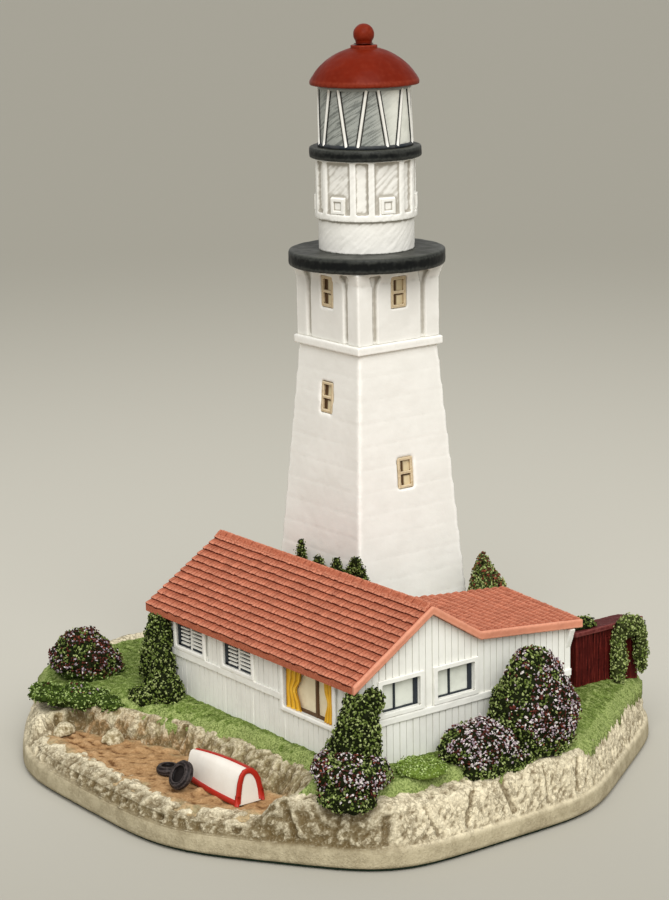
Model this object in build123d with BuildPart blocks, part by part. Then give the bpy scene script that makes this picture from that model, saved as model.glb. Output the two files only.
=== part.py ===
"""Lighthouse figurine: a square tower and a keeper's house on a rock base, as separate castings."""

import os
from math import cos, hypot, pi, radians, sin, sqrt, tan

from build123d import *

os.makedirs("parts", exist_ok=True)

# Fits between castings
fit_clearance = 0.15
seat_gap = 0.1

# Ground plan of the base: a rectangle with its four corners cut off and rounded
base_width = 110.6
base_depth = 110.4
front_left_cut = (28.2, 18.5)
front_right_cut = (34.3, 24.5)
back_right_cut = (26.3, 41.2)
back_left_cut = (30.0, 34.0)
plan_rounding = 14.0
front_rounding = 28.0

# Base heights
pad_thickness = 0.8
pad_inset = 1.0
rim_height = 3.2
rim_inset = 0.8
bank_inset = 2.4
lawn_inset = 3.0
lawn_thickness = 1.8
lawn_level = 13.5
lawn_roll = (4.5, 1.4)
sand_level = 7.0
sand_thickness = 1.4
sand_inset = 2.4

# Clefts in the rock bank: each a leaning V-shaped notch
cleft_count = 42
cleft_depth = (0.8, 0.35)
cleft_lean = 26.0
cleft_turn = 2.4
cleft_margin = 0.5

# Beach, cut into the front of the base
beach_left = -29.0
beach_right = 33.0
beach_back = -33.5
beach_bend = -5.0
beach_left_back = -42.5
beach_rounding = 5.0
beach_margin = 0.8

# Tower
tower_x = -10.3
tower_gap = 1.95
shaft_foot_half = 14.05
shaft_top_half = 9.4
shaft_height = 61.8
shaft_spigot_radius = 7.0
shaft_spigot_length = 7.0
belt_half = 10.1
belt_height = 1.6
watch_half = 9.65
watch_height = 13.7
corbel_half = 10.3
corbel_height = 2.4
groove_width = 1.1
groove_flare = 3.4
groove_depth = 0.7
groove_spacing = 11.4
deck_radius = 14.8
deck_thickness = 2.9
deck_edge = 0.5
drum_foot_radius = 9.0
drum_foot_height = 6.1
drum_radius = 9.6
drum_height = 17.2
drum_bays = 6
drum_first_bay = -12.0
wide_panel_width = 5.6
wide_panel_depth = 0.35
slim_panel_width = 2.3
slim_panel_depth = 0.7
panel_foot_margin = 1.2
panel_head_margin = 0.3
hatch_size = 2.9
hatch_rise = 0.15
hatch_proud = 0.35
gallery_radius = 10.5
gallery_thickness = 2.1
gallery_edge = 0.4
glazing_foot_radius = 8.65
glazing_top_radius = 8.4
glazing_height = 11.3
bar_pairs = 7
bar_first = -41.0
bar_half_step = 6.0
bar_width = 0.75
bar_proud = 0.45
cage_ring_height = 0.7
dome_radius = 10.2
dome_rim_height = 0.9
dome_rise = 5.9
ball_radius = 1.95
ball_flange_radius = 2.5
ball_flange_height = 0.8
ball_neck_radius = 1.2
stack_spigot_radius = 4.0
stack_spigot_length = 4.0
ball_spigot_radius = 0.9
ball_spigot_length = 2.5

# Tower openings
slit_width = 3.8
slit_height = 6.1
slit_recess = 0.9
slit_pane = 0.3
slit_frame = 0.55
slit_frame_thickness = 0.5
slit_mid_level = 52.6
slit_low_level = 38.45
slit_watch_rise = 9.3
tower_door_width = 6.0
tower_door_height = 10.5
door_recess = 1.0
door_leaf = 0.8

# House walls
house_left = -21.3
gable_x = 40.2
front_wall = -26.8
back_wall = -2.8
wing_left = 17.8
wing_end = 21.3
house_peg_radius = 2.5
house_peg_inset = 10.0
house_peg_length = 5.0

# Roofs
ridge_y = -11.5
ridge_level = 40.0
main_pitch = 32.0
wing_pitch = 6.0
eave_overhang = 2.0
back_overhang = 2.0
rake_overhang = 1.5
roof_thickness = 1.2
front_courses = 13
wing_courses = 14
course_lap = 0.28
wing_skew = 2.6
wing_eave_overhang = 1.7
wing_left_overhang = 1.3
fascia_thickness = 0.7
fascia_height = 1.5
cap_reach = 1.2
cap_thickness = 0.4

# House windows: centre along the wall, then width
louvre_centres = (-10.9, 4.5)
louvre_width = 8.7
louvre_sill = 22.75
louvre_height = 4.8
picture_centre = 25.8
picture_width = 14.4
picture_sill = 19.7
picture_height = 7.9
gable_centres = (-17.8, -5.65)
gable_width = 8.3
gable_sill = 22.8
gable_height = 5.2
window_recess = 1.2
pane_thickness = 0.3
sash_bar = 0.55
sash_thickness = 0.5
surround_width = 0.85
surround_proud = 0.45
slats_per_bay = 5
slat_depth = 0.8
slat_thickness = 0.28
slat_tilt = 30.0
curtain_top = 3.6
curtain_waist = 1.6
curtain_foot = 2.7
curtain_tie = 0.4
curtain_thickness = 0.6
band_level = 20.6
band_height = 1.3
band_proud = 0.35
bracket_width = 1.2
bracket_reach = 1.4
bracket_height = 4.0
back_door_x = -13.0
back_door_width = 5.4
back_door_height = 11.0

# Shed
shed_front = 30.7
shed_depth = 5.5
shed_gap = 10.2
shed_length = 15.6
shed_height = 9.9
shed_fall = 10.0
shed_plank = 1.45
shed_groove = 0.25
shed_roof_thickness = 0.9
shed_roof_overhang = 0.7
shed_door_offset = 9.1
shed_door_width = 3.2
shed_door_height = 8.4

# Boat and tyres
boat_x = 17.6
boat_y = -40.0
boat_length = 17.0
boat_beam = 5.4
boat_depth = 6.2
boat_bow_share = 0.72
boat_shoulder = 7.6
hull_lean = 0.3
hull_turn = (0.75, 0.85)
hull_far_rise = 0.4
boat_trim = 0.6
boat_trim_proud = 0.3
tyre_width = 1.7
flat_tyre_radius = 2.1
flat_tyre_place = (5.2, -43.0)
leaning_tyre_radius = 2.7
leaning_tyre_place = (13.4, -45.6)
leaning_tyre_tilt = 56.0
tyre_dish = 0.5
tyre_rim_share = 0.58

# Plants: what stands by a wall is cut back from it by the standoff
ivy_standoff = 0.6
ivy_radius = 3.9
ivy_offset = 1.0
ivy_headroom = 0.5
bush_clearance = 0.3
bed_gap = 0.8
left_bush_place = (-37.0, -33.5)
left_bush_half = 6.8
left_bush_height = 8.6
front_bed_offset = (2.4, 3.6)
front_bed_half = (7.4, 6.2)
front_bed_height = 5.4
cone_bush_offset = 6.6
cone_bush_y = 6.6
cone_bush_half = (6.4, 8.8)
cone_bush_height = 16.8
gable_bed_offset = 6.4
gable_bed_spacing = 11.8
gable_bed_half = (5.6, 8.4)
gable_bed_height = 6.0
grass_mound_half = (4.7, 4.2)
grass_mound_height = 1.9
tower_bush_offset = (19.9, 16.2)
tower_bush_half = 6.4
tower_bush_height = 22.5
shed_ivy_half = (2.4, 3.7)
shed_ivy_offset = (1.5, 1.6)
shed_ivy_height = 12.2
roof_ivy_half = (2.3, 3.4)
roof_ivy_offset = 3.4
roof_ivy_height = 3.6

# Pointed shrubs between the house and the tower: offset from the tower's axis, half-width and height
spiky_plants = ((-5.7, 2.2, 21.7), (-2.3, 1.0, 25.5), (3.3, 3.0, 23.4), (9.0, 2.2, 24.2), (14.9, 3.2, 25.7))
spiky_shoulder = 0.84
spiky_foot = 0.6

# Boulders on the sand: place and radius
boulder_places = (((-15.6, -41.6), 2.4), ((-24.8, -46.4), 2.2))
boulder_sides = 7
boulder_rise = 0.9
boulder_shape = ((0, 1.0), (0.5, 0.86), (1.0, 0.42))

# Levels worked out from the sizes above
rock_foot = pad_thickness
rim_top = rock_foot + rim_height
lawn_bed = lawn_level - lawn_thickness
sand_bed = sand_level - sand_thickness
belt_level = lawn_level + shaft_height
watch_level = belt_level + belt_height
deck_level = watch_level + watch_height
drum_level = deck_level + deck_thickness
gallery_level = drum_level + drum_height
glazing_level = gallery_level + gallery_thickness
dome_level = glazing_level + glazing_height
dome_top = dome_level + dome_rim_height + dome_rise
shaft_slope = (shaft_foot_half - shaft_top_half) / shaft_height

# Roof lines worked out from the sizes above
front_eave = front_wall - eave_overhang
kink_y = back_wall + back_overhang
tower_y = kink_y + tower_gap + shaft_foot_half
shed_left = wing_end + shed_gap
kink_level = ridge_level - (kink_y - ridge_y) * tan(radians(main_pitch))
wing_eave = wing_end + wing_eave_overhang
roof_left = house_left - rake_overhang
roof_right = gable_x + rake_overhang - fascia_thickness
wing_roof_left = wing_left - wing_left_overhang
course_run = (ridge_y - front_eave) / front_courses
back_courses = max(2, round((kink_y - ridge_y) / course_run))

front_plane = Plane(origin=(0, front_wall, 0), x_dir=(1, 0, 0), z_dir=(0, -1, 0))
gable_plane = Plane(origin=(gable_x, 0, 0), x_dir=(0, 1, 0), z_dir=(1, 0, 0))
rear_plane = Plane(origin=(0, back_wall, 0), x_dir=(-1, 0, 0), z_dir=(0, 1, 0))


def save(piece, node):
    """Label a finished piece and write it under its node name."""
    piece.part.label = node
    export_step(piece.part, f"parts/{node}.step")


def ground_plan(inset):
    """Rounded eight-sided plan of the base, drawn in all round by an inset."""
    right, back = base_width / 2, base_depth / 2
    left, front = -right, -back
    with BuildSketch() as plan:
        with BuildLine():
            Polyline(
                (left + front_left_cut[0], front),
                (right - front_right_cut[0], front),
                (right, front + front_right_cut[1]),
                (right, back - back_right_cut[1]),
                (right - back_right_cut[0], back),
                (left + back_left_cut[0], back),
                (left, back - back_left_cut[1]),
                (left, front + front_left_cut[1]),
                close=True,
            )
        make_face()
        side_corners = plan.vertices().group_by(Axis.Y)[1:]
        fillet([corner for row in side_corners for corner in row], plan_rounding)
        fillet(plan.vertices().group_by(Axis.Y)[0], front_rounding)
        offset(amount=-inset)
    return plan.sketch


def beach_plan(growth):
    """Plan of the beach pocket, open past the front of the base, grown all round."""
    front = -base_depth / 2 - plan_rounding
    with BuildSketch() as plan:
        with BuildLine():
            Polyline(
                (beach_left, front),
                (beach_left, beach_left_back),
                (beach_bend, beach_back),
                (beach_right, beach_back),
                (beach_right, front),
                close=True,
            )
        make_face()
        fillet(plan.vertices(), beach_rounding)
        offset(amount=growth)
    return plan.sketch


def shaft_half(level):
    """Half-width of the tapered shaft at a height."""
    return shaft_foot_half - (level - lawn_level) * shaft_slope


def roof_line(y):
    """Height of the roof's bed line, on which the tiles lap, at a depth into the house."""
    if y <= kink_y:
        return ridge_level - abs(y - ridge_y) * tan(radians(main_pitch))
    return kink_level - (y - kink_y) * tan(radians(wing_pitch))


def roof_under(y):
    """Height of the roof's underside."""
    return roof_line(y) - roof_thickness


def courses(start, end, count):
    """Stepped outline of lapped tile courses from an eave up to the far end of a slope."""
    points = []
    for course in range(count):
        low = start + (end - start) * course / count
        high = start + (end - start) * (course + 1) / count
        points += [(low, roof_line(low) + course_lap), (high, roof_line(high))]
    return points


def house_pegs():
    """Places of the pegs that key the house to the base."""
    middle = (front_wall + back_wall) / 2
    return [
        (house_left + house_peg_inset, middle),
        (gable_x - house_peg_inset, middle),
    ]


def face_plane(turn, level, half, slope):
    """Plane on one tower face, facing outward, with its origin on the face at a height."""
    out = (cos(radians(turn)), sin(radians(turn)))
    origin = (tower_x + out[0] * half, tower_y + out[1] * half, level)
    lean = 1 / hypot(1, slope)
    return Plane(
        origin=origin,
        x_dir=(-out[1], out[0], 0),
        z_dir=(out[0] * lean, out[1] * lean, slope * lean),
    )


def shaft_face(turn, level):
    """Plane on the tapered shaft."""
    return face_plane(turn, level, shaft_half(level), shaft_slope)


def watch_face(turn, level):
    """Plane on the upright watch room."""
    return face_plane(turn, level, watch_half, 0)


def stack_spigot(level, passes):
    """Round spigot under a tower piece, through what lies between it and its socket."""
    with Locations((tower_x, tower_y, level)):
        Cylinder(
            stack_spigot_radius,
            passes + stack_spigot_length,
            align=(Align.CENTER, Align.CENTER, Align.MAX),
        )


def stack_socket(level):
    """Round socket in the top of a tower piece."""
    with Locations((tower_x, tower_y, level)):
        Cylinder(
            stack_spigot_radius + fit_clearance,
            stack_spigot_length + fit_clearance,
            align=(Align.CENTER, Align.CENTER, Align.MAX),
            mode=Mode.SUBTRACT,
        )


def stack_bore(level, thickness):
    """Hole right through a thin tower piece for the spigot above."""
    with Locations((tower_x, tower_y, level)):
        Cylinder(
            stack_spigot_radius + fit_clearance,
            thickness,
            align=(Align.CENTER, Align.CENTER, Align.MIN),
            mode=Mode.SUBTRACT,
        )


def cleft_place(line, number):
    """Middle of one cleft on the bank, turned to its lean, facing out of the rock; and its depth."""
    place = line.position_at(number / cleft_count)
    along = line.tangent_at(number / cleft_count)
    out = Vector(along.Y, -along.X, 0)
    if out.dot(place) < 0:
        out = -out
    slope = (bank_inset - rim_inset) / (lawn_bed - rim_top)
    bank = Plane(
        origin=(place.X, place.Y, (rim_top + lawn_bed) / 2),
        x_dir=Vector(0, 0, 1).cross(out),
        z_dir=out + Vector(0, 0, slope),
    )
    lean = cleft_lean * sin(cleft_turn * number)
    depth = cleft_depth[0] + cleft_depth[1] * cos(cleft_turn * number)
    return bank.location * Location((0, 0, 0), (0, 0, lean)), depth


tower_axis = Axis((tower_x, tower_y, 0), (0, 0, 1))


# Felt pad under the base
with BuildPart() as felt_pad:
    with BuildSketch():
        add(ground_plan(pad_inset))
    extrude(amount=pad_thickness)
save(felt_pad, "felt_pad")

# Rock base: upright rim, sloping bank with clefts, beach pocket, and sockets for the tower and the house
cleft_line = ground_plan((rim_inset + bank_inset) / 2).face().outer_wire()
cleft_length = lawn_bed - rim_top - 2 * cleft_margin
with BuildPart() as rock_base:
    with BuildSketch(Plane.XY.offset(rock_foot)):
        add(ground_plan(0))
    extrude(amount=rim_height)
    with BuildSketch(Plane.XY.offset(rim_top)):
        add(ground_plan(rim_inset))
    with BuildSketch(Plane.XY.offset(lawn_bed)):
        add(ground_plan(bank_inset))
    loft(ruled=True)
    for number in range(cleft_count):
        place, depth = cleft_place(cleft_line, number)
        side = 2 * depth
        with Locations(place * Location((0, 0, side / sqrt(2) - depth), (0, 45, 0))):
            Box(side, cleft_length, side, mode=Mode.SUBTRACT)
    with BuildSketch(Plane.XY.offset(sand_bed)):
        add(beach_plan(0))
    extrude(amount=lawn_level, mode=Mode.SUBTRACT)
    with Locations((tower_x, tower_y, lawn_level)):
        Cylinder(
            shaft_spigot_radius + fit_clearance,
            shaft_spigot_length + fit_clearance,
            align=(Align.CENTER, Align.CENTER, Align.MAX),
            mode=Mode.SUBTRACT,
        )
    with Locations(*[(x, y, lawn_level) for x, y in house_pegs()]):
        Cylinder(
            house_peg_radius + fit_clearance,
            house_peg_length + fit_clearance,
            align=(Align.CENTER, Align.CENTER, Align.MAX),
            mode=Mode.SUBTRACT,
        )
save(rock_base, "rock_base")

# Sand on the floor of the beach pocket
with BuildPart() as beach_sand:
    with BuildSketch(Plane.XY.offset(sand_bed)):
        add(ground_plan(sand_inset))
        add(beach_plan(-fit_clearance), mode=Mode.INTERSECT)
    extrude(amount=sand_thickness)
save(beach_sand, "beach_sand")

# Lawn on the bank's flat top, rolled down to the rock and the beach, holed for the tower and the house
lawn_shoulder = lawn_level - lawn_roll[1]
with BuildPart() as lawn:
    with BuildSketch(Plane.XY.offset(lawn_bed)):
        add(ground_plan(lawn_inset))
    extrude(amount=lawn_shoulder - lawn_bed)
    for inset, level in ((lawn_inset, lawn_shoulder), (lawn_inset + lawn_roll[0], lawn_level)):
        with BuildSketch(Plane.XY.offset(level)):
            add(ground_plan(inset))
    loft(ruled=True)
    for growth, level in ((beach_margin, lawn_shoulder), (beach_margin + lawn_roll[0], lawn_level)):
        with BuildSketch(Plane.XY.offset(level)):
            add(beach_plan(growth))
    loft(ruled=True, mode=Mode.SUBTRACT)
    with BuildSketch(Plane.XY.offset(lawn_bed)):
        add(beach_plan(beach_margin))
        with Locations((beach_left + 2 * beach_rounding, beach_left_back)):
            Rectangle(base_width, base_depth, align=Align.MAX)
        with Locations((tower_x, tower_y)):
            Circle(shaft_spigot_radius + fit_clearance)
        with Locations(*house_pegs()):
            Circle(house_peg_radius + fit_clearance)
    extrude(amount=lawn_thickness, mode=Mode.SUBTRACT)
save(lawn, "lawn")


# Tower: window and door places, as the turn of the face and the height of the opening's centre
faces = (-90, 0, 90, 180)
shaft_slits = [
    shaft_face(-90, lawn_level + slit_mid_level),
    shaft_face(0, lawn_level + slit_low_level),
    shaft_face(180, lawn_level + slit_low_level),
]
watch_slits = [watch_face(turn, watch_level + slit_watch_rise) for turn in faces]
tower_door_face = shaft_face(90, lawn_level + tower_door_height / 2)

# Tapered shaft, with its spigot, window recesses, door recess and the socket for the watch room
with BuildPart() as tower_shaft:
    with BuildSketch(Plane.XY.offset(lawn_level)):
        with Locations((tower_x, tower_y)):
            Rectangle(2 * shaft_foot_half, 2 * shaft_foot_half)
    with BuildSketch(Plane.XY.offset(belt_level)):
        with Locations((tower_x, tower_y)):
            Rectangle(2 * shaft_top_half, 2 * shaft_top_half)
    loft(ruled=True)
    with Locations((tower_x, tower_y, lawn_level)):
        Cylinder(
            shaft_spigot_radius,
            shaft_spigot_length,
            align=(Align.CENTER, Align.CENTER, Align.MAX),
        )
    for plane in shaft_slits:
        with BuildSketch(plane):
            Rectangle(slit_width, slit_height)
        extrude(amount=-slit_recess, mode=Mode.SUBTRACT)
    with BuildSketch(tower_door_face):
        Rectangle(tower_door_width, tower_door_height)
    extrude(amount=-door_recess, mode=Mode.SUBTRACT)
    stack_socket(belt_level)
save(tower_shaft, "tower_shaft")

# Belt course between the shaft and the watch room
with BuildPart() as belt_course:
    with Locations((tower_x, tower_y, belt_level)):
        Box(
            2 * belt_half,
            2 * belt_half,
            belt_height,
            align=(Align.CENTER, Align.CENTER, Align.MIN),
        )
    stack_bore(belt_level, belt_height)
save(belt_course, "belt_course")

# Watch room: upright box, corbelled out under the deck, with two flared grooves on each face
groove_top = watch_height - groove_depth
groove_throat = groove_top - groove_flare
with BuildPart() as watch_room:
    with BuildSketch(Plane.XY.offset(watch_level)):
        with Locations((tower_x, tower_y)):
            Rectangle(2 * watch_half, 2 * watch_half)
    extrude(amount=watch_height)
    with BuildSketch(Plane.XY.offset(deck_level - corbel_height)):
        with Locations((tower_x, tower_y)):
            Rectangle(2 * watch_half, 2 * watch_half)
    with BuildSketch(Plane.XY.offset(deck_level)):
        with Locations((tower_x, tower_y)):
            Rectangle(2 * corbel_half, 2 * corbel_half)
    loft(ruled=True)
    for turn in faces:
        with BuildSketch(face_plane(turn, watch_level, corbel_half, 0)):
            for side in (-1, 1):
                with BuildLine(Plane.XY):
                    middle = side * groove_spacing / 2
                    left, right = middle - groove_width / 2, middle + groove_width / 2
                    left_edge = Line((left, 0), (left, groove_throat))
                    right_edge = Line((right, groove_throat), (right, 0))
                    top_left = (middle - groove_flare / 2, groove_top)
                    top_right = (middle + groove_flare / 2, groove_top)
                    TangentArc(left_edge @ 1, top_left, tangent=(0, 1))
                    Line(top_left, top_right)
                    TangentArc(right_edge @ 0, top_right, tangent=(0, 1))
                    Line(right_edge @ 1, left_edge @ 0)
                make_face()
        extrude(amount=-(corbel_half - watch_half) - groove_depth, mode=Mode.SUBTRACT)
    for plane in watch_slits:
        with BuildSketch(plane.offset(corbel_half - watch_half)):
            Rectangle(slit_width, slit_height)
        extrude(amount=watch_half - corbel_half - slit_recess, mode=Mode.SUBTRACT)
    stack_spigot(watch_level, belt_height)
    stack_socket(deck_level)
save(watch_room, "watch_room")

# Round gallery deck
with BuildPart() as gallery_deck:
    with Locations((tower_x, tower_y, deck_level)):
        Cylinder(deck_radius, deck_thickness, align=(Align.CENTER, Align.CENTER, Align.MIN))
    fillet(gallery_deck.edges(), deck_edge)
    stack_bore(deck_level, deck_thickness)
save(gallery_deck, "gallery_deck")

# Lantern drum: plain foot ring, panelled upper wall
bay_turn = 360 / drum_bays
panel_foot = drum_level + drum_foot_height + panel_foot_margin
panel_height = gallery_level - panel_head_margin - panel_foot


def drum_bay(bay):
    """Direction that one wide bay of the drum faces."""
    return drum_first_bay + bay * bay_turn


def drum_panel(turn, width, height, foot, inner, outer):
    """Block on the drum's wall between two radii, facing one way."""
    middle = (inner + outer) / 2
    place = Location(
        (tower_x + middle * cos(radians(turn)), tower_y + middle * sin(radians(turn)), foot), (0, 0, turn)
    )
    return place, (outer - inner, width, height)


with BuildPart() as lantern_drum:
    with Locations((tower_x, tower_y, drum_level)):
        Cylinder(drum_foot_radius, drum_foot_height, align=(Align.CENTER, Align.CENTER, Align.MIN))
    with Locations((tower_x, tower_y, drum_level + drum_foot_height)):
        Cylinder(
            drum_radius,
            drum_height - drum_foot_height,
            align=(Align.CENTER, Align.CENTER, Align.MIN),
        )
    for bay in range(drum_bays):
        for turn, width, depth in (
            (drum_bay(bay), wide_panel_width, wide_panel_depth),
            (drum_bay(bay) + bay_turn / 2, slim_panel_width, slim_panel_depth),
        ):
            reach = hypot(drum_radius, width)
            place, size = drum_panel(turn, width, panel_height, panel_foot, drum_radius - depth, reach)
            with Locations(place):
                Box(*size, align=(Align.CENTER, Align.CENTER, Align.MIN), mode=Mode.SUBTRACT)
    stack_spigot(drum_level, deck_thickness)
    stack_socket(gallery_level)
save(lantern_drum, "lantern_drum")

# Small square hatches low in the wide bays
panel_face = drum_radius - wide_panel_depth
with BuildPart() as drum_hatches:
    for bay in range(drum_bays):
        hatch_foot = panel_foot + hatch_rise
        hatch_face = panel_face + hatch_proud
        place, size = drum_panel(drum_bay(bay), hatch_size, hatch_size, hatch_foot, panel_face, hatch_face)
        with Locations(place):
            Box(*size, align=(Align.CENTER, Align.CENTER, Align.MIN))
save(drum_hatches, "drum_hatches")

# Narrow gallery round the lantern
with BuildPart() as lantern_gallery:
    with Locations((tower_x, tower_y, gallery_level)):
        Cylinder(gallery_radius, gallery_thickness, align=(Align.CENTER, Align.CENTER, Align.MIN))
    fillet(lantern_gallery.edges(), gallery_edge)
    stack_bore(gallery_level, gallery_thickness)
save(lantern_gallery, "lantern_gallery")

# Lantern glazing: a slightly tapered drum of glass
with BuildPart() as lantern_glazing:
    with Locations((tower_x, tower_y, glazing_level)):
        Cone(
            glazing_foot_radius,
            glazing_top_radius,
            glazing_height,
            align=(Align.CENTER, Align.CENTER, Align.MIN),
        )
    stack_spigot(glazing_level, gallery_thickness)
    stack_socket(dome_level)
save(lantern_glazing, "lantern_glazing")

# Cage of slanting glazing bars between two rings
cage_foot = glazing_foot_radius + bar_proud
cage_top = glazing_top_radius + bar_proud
bar_step = 180 / bar_pairs


def on_cage(turn, radius, level):
    """Point on the cage at a turn about the tower's axis."""
    return Vector(tower_x + radius * cos(radians(turn)), tower_y + radius * sin(radians(turn)), level)


with BuildPart() as lantern_cage:
    for level, radius in ((glazing_level, cage_foot), (dome_level - cage_ring_height, cage_top)):
        with Locations((tower_x, tower_y, level)):
            Cylinder(radius, cage_ring_height, align=(Align.CENTER, Align.CENTER, Align.MIN))
    for bar in range(2 * bar_pairs):
        lean = bar_half_step * (1 if bar % 2 else -1)
        turn = bar_first + bar * bar_step
        foot = on_cage(turn + lean, glazing_foot_radius, glazing_level)
        head = on_cage(turn - lean, glazing_top_radius, dome_level)
        outward = Vector(cos(radians(turn)), sin(radians(turn)), 0)
        run = head - foot
        across = outward.cross(run)
        bar_plane = Plane(origin=foot + run / 2, x_dir=across, z_dir=run)
        with BuildSketch(bar_plane):
            Rectangle(bar_width, 2 * bar_proud)
        extrude(amount=run.length / 2, both=True)
    with Locations((tower_x, tower_y, glazing_level)):
        Cone(
            glazing_foot_radius,
            glazing_top_radius,
            glazing_height,
            align=(Align.CENTER, Align.CENTER, Align.MIN),
            mode=Mode.SUBTRACT,
        )
    for level, part_of_tower in ((glazing_level, Align.MAX), (dome_level, Align.MIN)):
        with Locations((tower_x, tower_y, level)):
            Cylinder(
                dome_radius,
                glazing_height,
                align=(Align.CENTER, Align.CENTER, part_of_tower),
                mode=Mode.SUBTRACT,
            )
save(lantern_cage, "lantern_cage")

# Domed roof with a plain rim
with BuildPart() as dome_roof:
    with BuildSketch(Plane.XZ.offset(-tower_y)):
        with BuildLine():
            rim = Polyline(
                (tower_x, dome_top),
                (tower_x, dome_level),
                (tower_x + dome_radius, dome_level),
                (tower_x + dome_radius, dome_level + dome_rim_height),
            )
            ThreePointArc(
                rim @ 1,
                (
                    tower_x + dome_radius * sin(pi / 4),
                    dome_level + dome_rim_height + dome_rise * cos(pi / 4),
                ),
                rim @ 0,
            )
        make_face()
    revolve(axis=tower_axis)
    stack_spigot(dome_level, 0)
    with Locations((tower_x, tower_y, dome_top)):
        Cylinder(
            ball_spigot_radius + fit_clearance,
            ball_spigot_length + fit_clearance,
            align=(Align.CENTER, Align.CENTER, Align.MAX),
            mode=Mode.SUBTRACT,
        )
    with Locations((tower_x, tower_y, dome_top)):
        Cylinder(
            ball_flange_radius + fit_clearance,
            ball_flange_height,
            align=(Align.CENTER, Align.CENTER, Align.CENTER),
            mode=Mode.SUBTRACT,
        )
save(dome_roof, "dome_roof")

# Vent ball on its flange and neck
flange_foot = dome_top - ball_flange_height / 2
ball_level = flange_foot + ball_flange_height + ball_radius
with BuildPart() as vent_ball:
    with Locations((tower_x, tower_y, flange_foot)):
        Cylinder(ball_flange_radius, ball_flange_height, align=(Align.CENTER, Align.CENTER, Align.MIN))
        Cylinder(
            ball_neck_radius,
            ball_flange_height + ball_radius,
            align=(Align.CENTER, Align.CENTER, Align.MIN),
        )
    with Locations((tower_x, tower_y, ball_level)):
        Sphere(ball_radius)
    with Locations((tower_x, tower_y, dome_top)):
        Cylinder(
            ball_spigot_radius,
            ball_spigot_length,
            align=(Align.CENTER, Align.CENTER, Align.MAX),
        )
save(vent_ball, "vent_ball")

# Tower window panes lie on the floor of each recess, and frames with a middle rail stand on them
with BuildPart() as tower_panes:
    for plane in shaft_slits + watch_slits:
        with BuildSketch(plane.offset(-slit_recess)):
            Rectangle(slit_width - 2 * fit_clearance, slit_height - 2 * fit_clearance)
        extrude(amount=slit_pane)
save(tower_panes, "tower_panes")

with BuildPart() as tower_frames:
    light_height = (slit_height - 2 * fit_clearance - 3 * slit_frame) / 2
    for plane in shaft_slits + watch_slits:
        with BuildSketch(plane.offset(slit_pane - slit_recess)):
            Rectangle(slit_width - 2 * fit_clearance, slit_height - 2 * fit_clearance)
            with GridLocations(1, light_height + slit_frame, 1, 2):
                Rectangle(
                    slit_width - 2 * fit_clearance - 2 * slit_frame, light_height, mode=Mode.SUBTRACT
                )
        extrude(amount=slit_frame_thickness)
save(tower_frames, "tower_frames")

# Tower door on the side away from the house
with BuildPart() as tower_door:
    with BuildSketch(tower_door_face.offset(-door_recess)):
        Rectangle(tower_door_width - 2 * fit_clearance, tower_door_height - 2 * fit_clearance)
    extrude(amount=door_leaf)
save(tower_door, "tower_door")


# House openings: plane of the wall, centre along it, sill height, width and height
louvres = [(front_plane, x, louvre_sill, louvre_width, louvre_height) for x in louvre_centres]
picture = (front_plane, picture_centre, picture_sill, picture_width, picture_height)
gable_lights = [(gable_plane, y, gable_sill, gable_width, gable_height) for y in gable_centres]
house_windows = louvres + [picture] + gable_lights


def opening_plane(window, depth):
    """Plane on a wall, centred on a window and set back from the wall's face by a depth."""
    plane, along, sill, _, height = window
    return Plane(
        origin=plane.from_local_coords((along, sill + height / 2, -depth)),
        x_dir=plane.x_dir,
        z_dir=plane.z_dir,
    )


def sash_face(window, lights):
    """Face of a sash that fills an opening and is split into lights side by side."""
    width = window[3] - 2 * fit_clearance
    height = window[4] - 2 * fit_clearance
    light = (width - (lights + 1) * sash_bar) / lights
    with BuildSketch() as sash:
        Rectangle(width, height)
        with GridLocations(light + sash_bar, 1, lights, 1):
            Rectangle(light, height - 2 * sash_bar, mode=Mode.SUBTRACT)
    return sash.sketch


def surround_face(window):
    """Face of the flat surround nailed round an opening."""
    with BuildSketch() as surround:
        Rectangle(window[3] + 2 * surround_width, window[4] + 2 * surround_width)
        Rectangle(window[3], window[4], mode=Mode.SUBTRACT)
    return surround.sketch


# House walls: main block and wing in one casting, with window recesses, door recess and pegs
with BuildPart() as house_walls:
    with BuildSketch(Plane.YZ.offset(house_left)):
        with BuildLine():
            Polyline(
                (front_wall, lawn_level),
                (front_wall, roof_under(front_wall)),
                (ridge_y, roof_under(ridge_y)),
                (back_wall, roof_under(back_wall)),
                (back_wall, lawn_level),
                close=True,
            )
        make_face()
    extrude(amount=gable_x - house_left)
    with BuildSketch(Plane.YZ.offset(wing_left)):
        with BuildLine():
            Polyline(
                (ridge_y, lawn_level),
                (ridge_y, roof_under(ridge_y)),
                (kink_y, roof_under(kink_y)),
                (wing_end, roof_under(wing_end)),
                (wing_end, lawn_level),
                close=True,
            )
        make_face()
    extrude(amount=gable_x - wing_left)
    for window in house_windows:
        with BuildSketch(opening_plane(window, 0)):
            Rectangle(window[3], window[4])
        extrude(amount=-window_recess, mode=Mode.SUBTRACT)
    with BuildSketch(rear_plane):
        with Locations((-back_door_x, lawn_level + back_door_height / 2)):
            Rectangle(back_door_width, back_door_height)
    extrude(amount=-door_recess, mode=Mode.SUBTRACT)
    with Locations(*[(x, y, lawn_level) for x, y in house_pegs()]):
        Cylinder(house_peg_radius, house_peg_length, align=(Align.CENTER, Align.CENTER, Align.MAX))
save(house_walls, "house_walls")

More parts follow.
